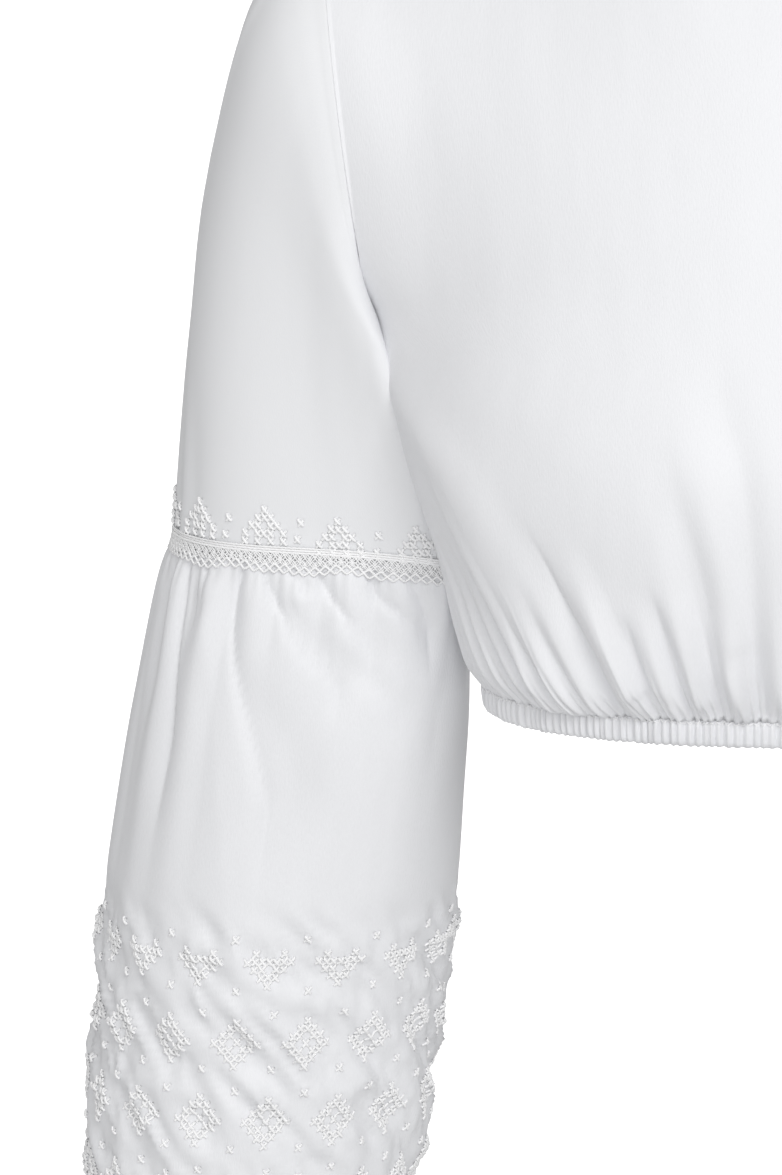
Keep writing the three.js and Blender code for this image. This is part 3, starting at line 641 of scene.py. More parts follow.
FRONT_CREASES = table(
    CREASE_COLUMNS,
    (3.8, 11, 24, 1.8, 60, 0, [(-0.97, -100), (-0.94, -125), (-0.9, -148), (-0.87, -168), (-0.821, -183),
                              (-0.688, -210), (-0.63, -247), (-0.565, -280), (-0.54, -311)]),
    (-3.8, 22, 32, 2.0, 30, 40, [(-0.82, 30), (-0.82, -20), (-0.83, -80), (-0.81, -130), (-0.75, -170)]),
    (-2.1, 12, 30, 2.0, 40, 40, [(-0.74, -170), (-0.58, -205), (-0.5, -240)]),
    (0.9, 1.2, 4, 1.1, 22, 0, [(-0.62, -262), (-0.61, -268), (-0.588, -293), (-0.583, -311)]),
    (0.9, 1.2, 4, 1.1, 22, 0, [(-0.545, -270), (-0.542, -277), (-0.535, -292), (-0.53, -311)]),
    (-2.9, 4.5, 1.4, 1.1, 45, 0, [(-0.52, -225), (-0.487, -244), (-0.459, -261), (-0.419, -281),
                                 (-0.387, -307)]),
    (2.2, 5, 8, 1.6, 40, 4, [(-0.42, -240), (-0.4, -262), (-0.359, -284), (-0.333, -297)]),
    (-1.7, 3.4, 0.9, 1.1, 18, 0, [(-0.33, -262), (-0.324, -272), (-0.311, -291), (-0.29, -308)]),
    (-1.6, 3, 1.2, 1.2, 22, 0, [(-0.27, -250), (-0.253, -271), (-0.218, -295), (-0.214, -308)]),
    (1.0, 4, 5, 1.7, 25, 4, [(-0.235, -250), (-0.224, -262), (-0.194, -302)]),
    (-2.0, 5, 4, 1.6, 70, 0, [(-0.23, -180), (-0.208, -208), (-0.165, -253), (-0.167, -283),
                              (-0.16, -308)]),
    (-1.8, 2.5, 2, 1.4, 12, 0, [(-0.13, -288), (-0.131, -308)]),
    (1.7, 2.4, 2.6, 1.7, 18, 3, [(-0.15, -280), (-0.127, -291), (-0.1, -307)]),
    (-2.0, 6, 5, 1.7, 80, 0, [(-0.16, -140), (-0.131, -169), (-0.083, -209), (-0.061, -281),
                              (-0.047, -308)]),
    (0.9, 8, 9, 1.8, 60, 6, [(-0.24, -160), (-0.18, -205), (-0.11, -250), (-0.1, -275)]),
)
CREASE_MOVE = 0.035  # how far a similar crease may lie to the side, up or down, and how deep it is
CREASE_RISE = 8
CREASE_DEEPER = (0.7, 1.15)
CREASE_FOOT = -300  # points of a path below this stay at the casing


def similar_creases(creases, seed, side_shift):
    """The same kinds of creases mirrored to the other half, each moved, deepened or shortened a little."""
    draw = np.random.default_rng(seed)
    others = []
    for crease in creases:
        other = dict(crease)
        shift = draw.uniform(-CREASE_MOVE, CREASE_MOVE) + side_shift
        rise = draw.uniform(-CREASE_RISE, CREASE_RISE)
        other["path"] = [(-at + shift, z if z < CREASE_FOOT else z + rise) for at, z in crease["path"]]
        other["depth"] = crease["depth"] * draw.uniform(*CREASE_DEEPER)
        other["left"], other["right"] = crease["right"], crease["left"]
        others.append(other)
    return others


front_creases = FRONT_CREASES + similar_creases(FRONT_CREASES, 5, 0.02)
print("front:", len(FRONT_FOLDS), "folds,", len(front_creases), "creases")

# %% [markdown]
# One function builds both panels. It lays the rows of sections, softens the bend at the armpits' height, and
# adds the three sizes of relief along the normals. Folds lean outwards as they rise, because the body is
# wider there, and all relief dies out in the side seams, so that the two panels meet.

# %% Panel builder
SIDE_HOLD = 0.012  # share of a panel over which relief dies out in its side seam
GATHER_PITCH = 3.3
GATHER_PEAK = 5
GATHER_START = 0.9
FOLD_LEAN = 0.0046
LEAN_REACH = 90
LEAN_RETURN = 0.7
CREASE_SETTLE = 5  # millimetres above the casing over which the creases gain strength
CREASE_START = 0.25
CASING_LENGTH = 345  # length of the casing along one panel
SOFT_LEVELS = 0.12  # levels about the armpit, and share of the width, over which a panel is softened
SOFT_EDGE = 0.1
SOFTENINGS = 40
SOFT_PULL = 0.25
FRONT_ROWS = ((24, 1.6), (60, 2.6), (146, 5))  # height above the casing, and spacing of the rows up to it
BACK_ROWS = ((24, 2), (60, 3.4), (146, 6))
TOP_ROWS = 26  # rows above the armpits


def row_levels(steps):
    """Levels from the casing (-1) to the top edge (1), close together where the small gathers are."""
    heights = [0.0]
    for until, spacing in steps:
        while heights[-1] < until - TINY:
            heights.append(min(until, heights[-1] + spacing))
    below = -1 + np.array(heights) / (ARMPIT_Z - CASING_TOP)
    return np.concatenate([below, np.linspace(0, 1, TOP_ROWS + 1)[1:]])


def spread(at, height, level):
    """Where the columns lie on a row: they lean outwards with height."""
    lean = FOLD_LEAN * min(height, LEAN_REACH) * (1 - LEAN_RETURN * max(0, level))
    return at + lean * at * (1 - at * at)


def body_panel(facing, levels, columns, folds, creases, gathers):
    """The outer grid of a panel, its normals and its threads, and the relief where it meets the casing."""
    at = np.linspace(-1, 1, columns)
    lines = [(-1, 0, 1)] + fold_lines(folds, 1)[:-1] + [(1, 0, 1)]
    height = (np.minimum(levels, 0) + 1) * (ARMPIT_Z - CASING_TOP)
    across = np.array([spread(at, h, level) for h, level in zip(height, levels)])
    base = np.array([panel_row(a, level, facing) for a, level in zip(across, levels)])
    near = np.exp(-(levels[1:-1] / SOFT_LEVELS) ** 2)[:, None, None]
    near = near * ease((1 - np.abs(at)) / SOFT_EDGE)[:, None]
    for _ in range(SOFTENINGS):
        base[1:-1] += SOFT_PULL * near * (base[:-2] + base[2:] - 2 * base[1:-1])
    normal = normals_of(base, False)
    if (normal[:, :, 1].mean() < 0) != (facing < 0):
        normal = -normal
    reach = np.array([line[2] for line in lines], float)
    strength = swell(height[:, None], FOLD_PEAK, reach[None, :], FOLD_START)
    relief = relief_between(at, lines, strength, FOLD_ROUND)
    strength = gather_strength(height, gathers, GATHER_PEAK, GATHER_START)
    relief += relief_between(at, gathers, strength, GATHER_ROUND)
    half_arc = np.linalg.norm(np.diff(base, axis=1), axis=2).sum(1) / 2
    creased = crease_relief(across, base[:, :, 2], half_arc[:, None], creases)
    relief += creased * ease(height / CREASE_SETTLE + CREASE_START)[:, None]
    relief *= ease((1 - np.abs(at)) / SIDE_HOLD) * ease((1 - levels) / SEAM_FADE)[:, None]
    down = np.linalg.norm(np.diff(base[:, columns // 2], axis=0), axis=1)
    rise = np.concatenate([[0], np.cumsum(down)])
    threads = np.stack([across * half_arc[:, None], np.repeat(rise[:, None], columns, 1)], -1)
    outer = base + normal * relief[:, :, None]
    return outer, normal, threads, relief[0]


front_levels = row_levels(FRONT_ROWS)
back_levels = row_levels(BACK_ROWS)
gather_step = 2 * GATHER_PITCH / CASING_LENGTH
front_gathers = random_gathers(11, -1, 1, gather_step, (0.4, 1.35), (8, 34))
back_gathers = random_gathers(12, -1, 1, gather_step, (0.3, 1.05), (8, 34))
print("rows:", len(front_levels), len(back_levels), "gathers:", len(front_gathers) // 2)

# %% [markdown]
# The front is one grid with the closest columns of all pieces, because its creases are the sharpest that
# show. They could be sculpted by hand, but a grid of numbers comes out the same each time it is built.

# %% The front
FRONT_COLUMNS = 560
front_outer, front_normal, front_threads, front_edge = body_panel(
    -1, front_levels, FRONT_COLUMNS, FRONT_FOLDS, front_creases, front_gathers)
front = cloth_shell("blouse_front", front_outer, front_outer - front_normal * CLOTH, front_threads, False)
finish_piece(front, "front", SATEEN)
print("front area:", round(sheet_area(front), 4))

# %% [markdown]
# The back hangs smoother than the front, because nothing fills it out, but it is gathered into the same
# casing. Its creases aren't known from the picture, so they are the front's kinds with other places.

# %% The back
BACK_COLUMNS = 320
BACK_FOLDS = table(
    ("at", "crest", "reach", "dip", "dipReach"),
    (-0.93, 1.4, 60, 1.4, 60),
    (-0.82, 1.9, 90, 1.6, 60),
    (-0.72, 1.6, 55, 1.7, 80),
    (-0.61, 2.2, 100, 1.8, 60),
    (-0.5, 1.8, 60, 2.0, 90),
    (-0.4, 2.6, 80, 2.2, 70),
    (-0.29, 2.0, 110, 2.2, 60),
    (-0.19, 2.6, 65, 2.2, 120),
    (-0.08, 2.2, 90, 2.0, 60),
    (0.03, 2.8, 60, 2.4, 110),
    (0.14, 2.1, 95, 2.2, 55),
    (0.24, 2.5, 60, 2.0, 85),
    (0.35, 2.1, 115, 1.9, 60),
    (0.46, 2.4, 70, 2.0, 75),
    (0.56, 1.7, 60, 1.6, 90),
    (0.67, 2.1, 95, 1.7, 55),
    (0.78, 1.6, 60, 1.5, 70),
    (0.89, 1.8, 75, 0, 60),
)
back_creases = similar_creases(FRONT_CREASES, 6, -0.03)
back_creases += similar_creases(back_creases, 7, 0.05)
back_outer, back_normal, back_threads, back_edge = body_panel(
    1, back_levels, BACK_COLUMNS, BACK_FOLDS, back_creases, back_gathers)
back = cloth_shell("blouse_back", back_outer, back_outer - back_normal * CLOTH, back_threads, False)
finish_piece(back, "back", SATEEN)
print("back area:", round(sheet_area(back), 4))

# %% [markdown]
# The casing is a tunnel turned up at the hem with elastic inside. The elastic draws it into gathers about
# three millimetres apart, which puff out between the row of stitches at its top and the fold at its bottom.
# It uses the panels' own gathers, so that each ridge runs on from the casing into the cloth above. Its raw
# edge reaches up behind the panels, so that no light comes through under the stitches.

# %% The casing
CASING_ROWS = 15
CASING_WALL = 1.1
CASING_PUFF = 0.55
CASING_GATHER = 1.7
STITCH_DEPTH = 0.12
LIP = 0.9  # how far the bottom fold rolls inwards
TUCKED = 1.5  # how far its raw edge reaches up behind the panels
SETTLED = 0.16  # share of its height over which its own gathers take over from the panels'
PUFF_FROM = 0.08
GROOVE_AT = 0.09
GROOVE_WIDTH = 0.05
ROLL_FROM = 0.86
FLAT_FROM = 0.8  # from here down the gathers flatten into the bottom fold
FLATTENED = 0.65
SAG_FROM = 0.7
SAG = 0.15


def casing_half(facing, columns, gathers, edge_relief):
    """One half of the casing, as rows from its raw edge down, and its outward directions."""
    at = np.linspace(-1, 1, columns)
    line = panel_row(at, -1, facing)
    tangent = np.gradient(line, axis=0)
    out = np.stack([tangent[:, 1], -tangent[:, 0], np.zeros(columns)], -1)
    out /= np.linalg.norm(out, axis=1, keepdims=True)
    if (out[:, 1].mean() < 0) != (facing < 0):
        out = -out
    up = np.array([0, 0, 1])
    rows = [line + out * (edge_relief - TUCKED)[:, None] + up * TUCKED]
    ones = np.ones((1, len(gathers)))
    ridges = relief_between(at, gathers, ones, RIDGE_ROUND)[0] * CASING_GATHER
    ridges *= ease((1 - np.abs(at)) / SIDE_HOLD)
    for t in np.linspace(0, 1, CASING_ROWS):
        puff = CASING_PUFF * math.sin(math.pi * min(1, max(0, (t - PUFF_FROM) / (1 - PUFF_FROM))))
        groove = -STITCH_DEPTH * math.exp(-((t - GROOVE_AT) / GROOVE_WIDTH) ** 2)
        roll = -LIP * ease((t - ROLL_FROM) / (1 - ROLL_FROM))
        flatter = 1 - FLATTENED * ease((t - FLAT_FROM) / (1 - FLAT_FROM))
        distance = mix(edge_relief, ridges * flatter, ease(t / SETTLED))
        distance = distance + puff + groove + roll - CASING_SLOPE * t
        drop = CASING_HEIGHT * t + SAG * ridges * ease((t - SAG_FROM) / (1 - SAG_FROM))
        rows.append(line + out * distance[:, None] - up * drop[:, None])
    return np.array(rows), np.repeat(out[None], CASING_ROWS + 1, 0)


front_half, front_out = casing_half(-1, FRONT_COLUMNS, front_gathers, front_edge)
back_half, back_out = casing_half(1, FRONT_COLUMNS, back_gathers,
                                  np.interp(np.linspace(-1, 1, FRONT_COLUMNS),
                                            np.linspace(-1, 1, BACK_COLUMNS), back_edge))
casing_outer = np.concatenate([front_half[:, :-1], back_half[:, :0:-1]], axis=1)
casing_out = np.concatenate([front_out[:, :-1], back_out[:, :0:-1]], axis=1)
around = np.linspace(0, 2 * CASING_LENGTH, casing_outer.shape[1] + 1)
down = np.concatenate([[-TUCKED], np.linspace(0, CASING_HEIGHT, CASING_ROWS)])
casing_threads = np.stack(np.meshgrid(around, down), -1)
casing = cloth_shell("hem_casing_cloth", casing_outer, casing_outer - casing_out * CASING_WALL,
                     casing_threads, True)
finish_piece(casing, "hem_casing", SATEEN)
print("casing area:", round(sheet_area(casing), 4))

# %% [markdown]
# A sleeve is a tube of slanting sections. Turn runs round it in degrees, from its outer edge over the front
# to the side towards the body, and level runs down it. Only the right sleeve is worked out. The left one is
# its mirror image, as the two sleeves of a blouse are cut from one pattern.

# %% The surface of a sleeve
CUFF_TOP = -588
SEAM_Z = -260
TUCK = table(  # where the sleeve is drawn forward, up to its corner against the body's side
    ("turn", "share"),
    (0, 0), (96, 0), (108, 0.06), (118, 0.17), (128, 0.39), (138, 0.72), (146, 0.95), (152, 1), (158, 0.85),
    (166, 0.4), (174, 0.05), (179, 0), (360, 0),
)
TUCK_TURNS = np.array([row["turn"] for row in TUCK], float)
TUCK_SHARES = np.array([row["share"] for row in TUCK], float)


def sleeve_plan(turns, levels):
    """x and y of places round a sleeve."""
    def read(name):
        return column(SLEEVE_SECTIONS, name, levels)
    angle = np.radians(turns)
    share = smooth_curve(TUCK_TURNS, TUCK_SHARES, turns)
    corner = np.where(turns < 90, read("outer"), read("corner"))
    fuller = 1 + corner * np.where(turns < 180, np.sin(2 * angle) ** 2, 0)
    x = (read("outX") + read("inX")) / 2 + (read("outX") - read("inX")) / 2 * np.cos(angle) * fuller
    y = read("back") - read("depth") * np.sin(angle) * fuller
    return x + read("push") * share, y - read("tuck") * share


def sleeve_surface(turns, levels):
    """The grid of points at every turn and every level."""
    turns = np.asarray(turns, float)[None, :]
    levels = np.asarray(levels, float)[:, None]
    turns, levels = np.broadcast_arrays(turns, levels)
    x, y = sleeve_plan(turns, levels)
    out, inner = column(SLEEVE_SECTIONS, "outZ", levels), column(SLEEVE_SECTIONS, "inZ", levels)
    return np.stack([x, y, (out + inner) / 2 + (out - inner) / 2 * np.cos(np.radians(turns))], -1)


def outward(normal, points):
    """Turns normals away from a tube's middle line."""
    away = points - points.mean(axis=1, keepdims=True)
    return normal if (normal * away).sum() > 0 else -normal


def levels_at(z):
    """Levels of the lower sleeve at given heights."""
    levels = np.linspace(1, 2, 2001)
    return np.interp(-np.asarray(z, float), -column(SLEEVE_SECTIONS, "outZ", levels), levels)


def tube_threads(points):
    """Flat places of a tube's points: round it by the mean arc, and down it by length."""
    steps = np.linalg.norm(np.diff(points, axis=1, append=points[:, :1]), axis=2).mean(0)
    down = np.linalg.norm(np.diff(points.mean(axis=1), axis=0), axis=1)
    arc = np.concatenate([[0], np.cumsum(steps)])
    drop = np.concatenate([[0], np.cumsum(down)])
    return np.stack(np.meshgrid(arc, drop), -1)


def mirrored(points):
    return points * np.array([-1, 1, 1])


def add_pair(name, node, material, outer, inner, threads):
    """A tube for the right side and its mirror image for the left."""
    pieces = []
    for side, turn_over in (("right", False), ("left", True)):
        flip = mirrored if turn_over else (lambda points: points)
        piece = cloth_shell(f"{name}_{side}", flip(outer), flip(inner), threads, True)
        finish_piece(piece, f"{node}_{side}", material)
        pieces.append(piece)
    print(name, "area:", round(sheet_area(pieces[0]), 4))
    return pieces


# %% [markdown]
# The upper sleeve is nearly smooth. The seam allowance of the armhole is pressed towards it and shows as a
# narrow raised strip with a light edge, a few soft folds stand above the lace at its outer edge, and the
# cloth dips where it is caught under the arm.

# %% The upper sleeves
UPPER_TURNS = np.arange(0, 360, 2.0)
UPPER_ROWS = np.concatenate([np.linspace(0, 0.06, 9)[:-1], np.linspace(0.06, 1, 36)])
ALLOWANCE = 3.0  # width of the pressed seam allowance
ALLOWANCE_HEIGHT = 0.13
ALLOWANCE_EDGES = (0.8, 1.2)  # how soft its two edges are
SEAM_EASE = 1.0
UPPER_DEGREE = 1.05  # millimetres for one degree of turn
UPPER_CREASES = table(
    CREASE_COLUMNS,
    (0.9, 3, 2.2, 1.7, 20, 40, [(24, -8), (22, -50), (18, -95), (15, -120)]),
    (0.9, 3, 3.5, 1.8, 70, 0, [(12, -150), (15, -200), (17, -256)]),
    (-0.9, 2.5, 3, 1.8, 60, 0, [(20, -160), (23, -205), (25, -255)]),
    (0.8, 3.5, 4, 1.8, 55, 0, [(27, -165), (31, -210), (33, -255)]),
    (-0.6, 3, 4, 1.8, 45, 0, [(36, -180), (40, -220), (42, -254)]),
    (-0.8, 3, 3.5, 1.6, 35, 6, [(158, -205), (150, -228), (138, -252)]),
    (0.6, 3, 4, 1.7, 30, 6, [(168, -215), (158, -236), (146, -256)]),
    (-0.8, 4, 5, 1.8, 60, 0, [(215, -160), (222, -205), (228, -255)]),
    (0.9, 4, 4, 1.8, 60, 0, [(262, -150), (268, -205), (270, -255)]),
    (-0.9, 4, 4, 1.8, 70, 0, [(318, -120), (322, -190), (324, -255)]),
    (0.8, 4, 5, 1.8, 60, 0, [(334, -140), (338, -200), (340, -255)]),
)
upper_base = sleeve_surface(UPPER_TURNS, UPPER_ROWS)
upper_normal = outward(normals_of(upper_base, True), upper_base)
from_seam = np.concatenate([np.zeros((1, len(UPPER_TURNS))), np.cumsum(
    np.linalg.norm(np.diff(upper_base, axis=0), axis=2), axis=0)])
turn_grid = np.repeat(UPPER_TURNS[None, :], len(UPPER_ROWS), 0)
upper_relief = ALLOWANCE_HEIGHT * ease(from_seam / ALLOWANCE_EDGES[0])
upper_relief = upper_relief * (1 - ease((from_seam - ALLOWANCE) / ALLOWANCE_EDGES[1]))
upper_relief += crease_relief(turn_grid, upper_base[:, :, 2], UPPER_DEGREE, UPPER_CREASES)
upper_relief *= ease(from_seam / SEAM_EASE)
upper_outer = upper_base + upper_normal * upper_relief[:, :, None]
upper_inner = upper_outer - upper_normal * CLOTH
upper_sleeves = add_pair("upper_sleeve", "sleeve_upper", SHEER, upper_outer, upper_inner,
                         tube_threads(upper_base))

# %% [markdown]
# The lower sleeve is gathered under the lace, and its gathers open into a few long soft folds. Further down
# the embroidery stiffens the cloth, which puckers between the motifs in short slanting wrinkles. They come
# from a lattice of random heights, sheared so that they run down towards the body and closed round the
# sleeve.

# %% The lower sleeves
SLEEVE_FOLDS = table(
    ("at", "crest", "reach", "dip", "dipReach"),
    (4, 1.6, 70, 1.6, 60),
    (20, 1.9, 90, 1.7, 110),
    (37, 2.4, 200, 2.2, 60),
    (55, 2.8, 220, 1.8, 90),
    (73, 1.6, 60, 1.3, 60),
    (90, 1.5, 50, 1.2, 50),
    (108, 1.6, 60, 1.2, 45),
    (126, 1.5, 50, 1.2, 50),
    (143, 1.5, 60, 1.2, 50),
    (161, 1.7, 60, 1.6, 80),
    (180, 1.8, 70, 1.7, 60),
    (199, 2.1, 110, 2.0, 60),
    (216, 1.8, 60, 2.2, 130),
    (234, 2.6, 150, 2.2, 70),
    (252, 2.1, 70, 2.4, 160),
    (271, 2.8, 190, 2.2, 60),
    (289, 2.0, 60, 2.1, 100),
    (307, 2.4, 130, 1.8, 60),
    (326, 1.8, 60, 1.9, 90),
    (344, 2.0, 110, 1.6, 60),
)
LOWER_CREASES = table(
    CREASE_COLUMNS,
    (1.9, 5, 8, 1.5, 14, 60, [(54, -262), (53, -275), (63, -321), (71, -364), (77, -407), (81, -452)]),
    (-1.2, 5, 8, 1.8, 6, 60, [(57, -262), (55, -275), (57, -300), (65, -330), (74, -364), (80, -400)]),
    (-3.2, 1.2, 4, 1.0, 5, 50, [(67, -262), (66, -275), (67, -293), (72, -315), (79, -337), (87, -365)]),
    (-1.8, 7, 8, 2.0, 30, 50, [(76, -300), (83, -323), (91, -343), (98, -362), (106, -400)]),
    (1.0, 8, 9, 2.0, 40, 50, [(108, -310), (106, -350), (112, -400)]),
    (-2.2, 1.1, 2, 1.0, 4, 16, [(52, -262), (52, -268), (53, -280)]),
    (-2.8, 1.2, 2.6, 1.0, 4, 22, [(77, -262), (77, -268), (85, -283), (93, -297), (106, -310)]),
    (-1.8, 2.5, 4, 1.5, 8, 24, [(88, -274), (91, -286), (100, -296), (111, -306), (126, -322)]),
    (-1.9, 1.0, 2, 1.0, 4, 8, [(86, -262), (88, -265), (92, -270)]),
    (-2.7, 1.1, 3, 1.0, 4, 20, [(97, -262), (98, -267), (104, -278), (116, -296)]),
    (-3.2, 1.2, 3.2, 1.0, 4, 22, [(115, -262), (116, -268), (119, -276), (136, -292)]),
    (-1.6, 1.1, 2.2, 1.1, 4, 14, [(128, -262), (130, -272), (136, -288)]),
    (-3.0, 2.2, 1.1, 1.0, 4, 50, [(42, -262), (42, -270), (43, -300), (47, -340)]),
    (-2.2, 1.2, 1.6, 1.0, 4, 34, [(30, -262), (29, -280), (31, -310)]),
    (-1.8, 1.2, 1.4, 1.0, 4, 18, [(48, -262), (48, -270), (49, -284)]),
    (-1.6, 3, 5, 1.6, 12, 60, [(22, -262), (20, -300), (22, -380)]),
    (-1.3, 3, 4, 1.5, 8, 40, [(146, -262), (146, -290), (140, -330)]),
    (1.2, 6, 6, 1.8, 30, 60, [(120, -290), (124, -330), (128, -390)]),
    (-1.5, 4, 4, 1.6, 10, 40, [(204, -262), (206, -300), (215, -345)]),
    (1.4, 5, 7, 1.7, 16, 60, [(222, -262), (226, -320), (236, -400)]),
    (-1.4, 4, 5, 1.6, 12, 40, [(243, -262), (246, -300), (240, -350)]),
    (-1.3, 3, 4, 1.5, 8, 30, [(263, -262), (268, -290), (280, -330)]),
    (1.5, 6, 6, 1.7, 16, 60, [(281, -262), (284, -320), (292, -420)]),
    (-1.5, 4, 3.5, 1.5, 10, 40, [(300, -262), (298, -300), (304, -350)]),
    (-1.3, 4, 5, 1.7, 12, 50, [(337, -262), (334, -310), (338, -370)]),
)
LACE_START = 0.08
LACE_PEAK = 18
CUFF_FOLD_REACH = 42
CUFF_FOLD_HEIGHT = 1.5
CUFF_FOLD_PEAK = 12
CUFF_FOLD_START = 0.45
LOWER_DEGREE = 1.15  # millimetres for one degree of turn
STITCHED_FROM = -404  # height at which the embroidered part begins
PUCKER_GIRTH = 460
PUCKERS = table(
    ("cells", "slant", "length", "height", "seed"),
    (40, 0.85, 22, 2.5, 21),
    (26, 1.05, 34, 2.9, 22),
    (70, 0.5, 10, 1.1, 23),
)
PUCKER_CREST = 0.4  # height of a pucker's crest, and how far the cloth falls beside it
PUCKER_FALL = 1.6
PUCKER_EASE = (30, 20)  # how softly the puckers begin above, and end at the cuff
LATTICE_ROWS = 64
LATTICE_START = 40


def lattice_noise(a, b, cells, seed):
    """Smooth random heights over a lattice: a repeats after a number of cells, b does not."""
    heights = np.random.default_rng(seed).uniform(-1, 1, (cells, LATTICE_ROWS))
    a0, b0 = np.floor(a).astype(int), np.floor(b).astype(int)
    ta, tb = ease(a - a0), ease(b - b0)

    def read(i, j):
        return heights[i % cells, j % LATTICE_ROWS]
    near = mix(read(a0, b0), read(a0 + 1, b0), ta)
    far = mix(read(a0, b0 + 1), read(a0 + 1, b0 + 1), ta)
    return mix(near, far, tb)


def puckers(turns, z):
    """Slanting wrinkles between the motifs, small and large ones together."""
    around = turns / 360 * PUCKER_GIRTH
    relief = np.zeros(np.broadcast(turns, z).shape)
    for size in PUCKERS:
        across = (around + z * size["slant"]) / PUCKER_GIRTH * size["cells"]
        noise = lattice_noise(across, z / size["length"] + LATTICE_START, size["cells"], size["seed"])
        relief += size["height"] * (PUCKER_CREST - PUCKER_FALL * np.abs(noise))
    return relief * ease((STITCHED_FROM - z) / PUCKER_EASE[0]) * ease((z - CUFF_TOP) / PUCKER_EASE[1])


lower_turns = np.concatenate([np.arange(0, 160, 0.85), np.arange(160, 360, 1.45)])  # finer in front
lower_z = np.concatenate([np.arange(-260, -284, -1.8), np.arange(-284, -400, -4.6),
                          np.arange(-400, -564, -3.1), np.linspace(-564, -588, 10)])
lower_levels = levels_at(lower_z)
lower_base = sleeve_surface(lower_turns, lower_levels)
lower_normal = outward(normals_of(lower_base, True), lower_base)
gather_lines = fold_lines(SLEEVE_FOLDS, 360 + SLEEVE_FOLDS[0]["at"])
gather_lines = [(gather_lines[-1][0] - 360,) + gather_lines[-1][1:]] + gather_lines
gather_lines += [(gather_lines[1][0] + 360,) + gather_lines[1][1:]]
below_lace = SEAM_Z - lower_z
above_cuff = lower_z - CUFF_TOP
fold_reach = np.array([line[2] for line in gather_lines])
lace_strength = swell(below_lace[:, None], LACE_PEAK, fold_reach[None, :], LACE_START)
lower_relief = relief_between(lower_turns, gather_lines, lace_strength, SLEEVE_ROUND)
cuff_lines = [(place, math.copysign(CUFF_FOLD_HEIGHT, height), 1) for place, height, _ in gather_lines]
cuff_strength = swell(above_cuff, CUFF_FOLD_PEAK, CUFF_FOLD_REACH, CUFF_FOLD_START)[:, None]
lower_relief += relief_between(lower_turns, cuff_lines, cuff_strength, SLEEVE_ROUND)
small_gathers = random_gathers(31, 0, 360, 360 / 74, (0.15, 0.55), (9, 30))
small_strength = gather_strength(below_lace, small_gathers, 6, 0.5)
lower_relief += relief_between(lower_turns, small_gathers, small_strength, GATHER_ROUND)
cuff_gathers = random_gathers(32, 0, 360, 360 / 56, (0.3, 0.7), (10, 34))
small_strength = gather_strength(above_cuff, cuff_gathers, 6, 0.7)
lower_relief += relief_between(lower_turns, cuff_gathers, small_strength, GATHER_ROUND)
lower_turn_grid = np.repeat(lower_turns[None, :], len(lower_z), 0)
creased = crease_relief(lower_turn_grid, lower_base[:, :, 2], LOWER_DEGREE, LOWER_CREASES, True)
lower_relief += creased * ease((below_lace + 2) / 8)[:, None]
lower_relief += puckers(lower_turn_grid, lower_base[:, :, 2])
lower_outer = lower_base + lower_normal * lower_relief[:, :, None]
lower_sleeves = add_pair("lower_sleeve", "sleeve_lower", SATEEN, lower_outer,
                         lower_outer - lower_normal * CLOTH, tube_threads(lower_base))

# %% [markdown]
# The cuffs lie below the picture's edge. They are made as such sleeves usually end: a narrow band with
# elastic in it, gathered like the hem casing.

# %% The cuffs
CUFF_HEIGHT = 11
CUFF_ROWS = 11
CUFF_WALL = 1.0
CUFF_PUFF = 0.6
CUFF_LIP = 0.8
CUFF_LIP_FROM = 0.85
CUFF_GATHER = 1.1
CUFF_SETTLED = 0.2


def cuff_rows():
    """The right cuff, as rows from its seam down, and its outward directions."""
    line = sleeve_surface(lower_turns, np.array([2.0]))[0]
    out = np.stack([np.cos(np.radians(180 - lower_turns)), -np.sin(np.radians(lower_turns)),
                    np.zeros(len(lower_turns))], -1)
    ones = np.ones((1, len(cuff_gathers)))
    ridges = relief_between(lower_turns, cuff_gathers, ones, RIDGE_ROUND)[0]
    rows = []
    for t in np.linspace(0, 1, CUFF_ROWS):
        puff = CUFF_PUFF * math.sin(math.pi * t)
        puff -= CUFF_LIP * ease((t - CUFF_LIP_FROM) / (1 - CUFF_LIP_FROM))
        distance = mix(lower_relief[-1], ridges * CUFF_GATHER, ease(t / CUFF_SETTLED)) + puff
        drop = np.array([0, 0, 1]) * CUFF_HEIGHT * t
        rows.append(line + out * distance[:, None] - drop)
    return np.array(rows), np.repeat(out[None], CUFF_ROWS, 0)


cuff_outer, cuff_out = cuff_rows()
cuff_cloths = add_pair("cuff_cloth", "cuff", SATEEN, cuff_outer, cuff_outer - cuff_out * CUFF_WALL,
                       tube_threads(cuff_outer))

# %% [markdown]
# Threads are thin tubes: a section with a few corners is carried along a path, and many paths of the same
# length are joined into one mesh at once. Lace and embroidery both come from this one function.

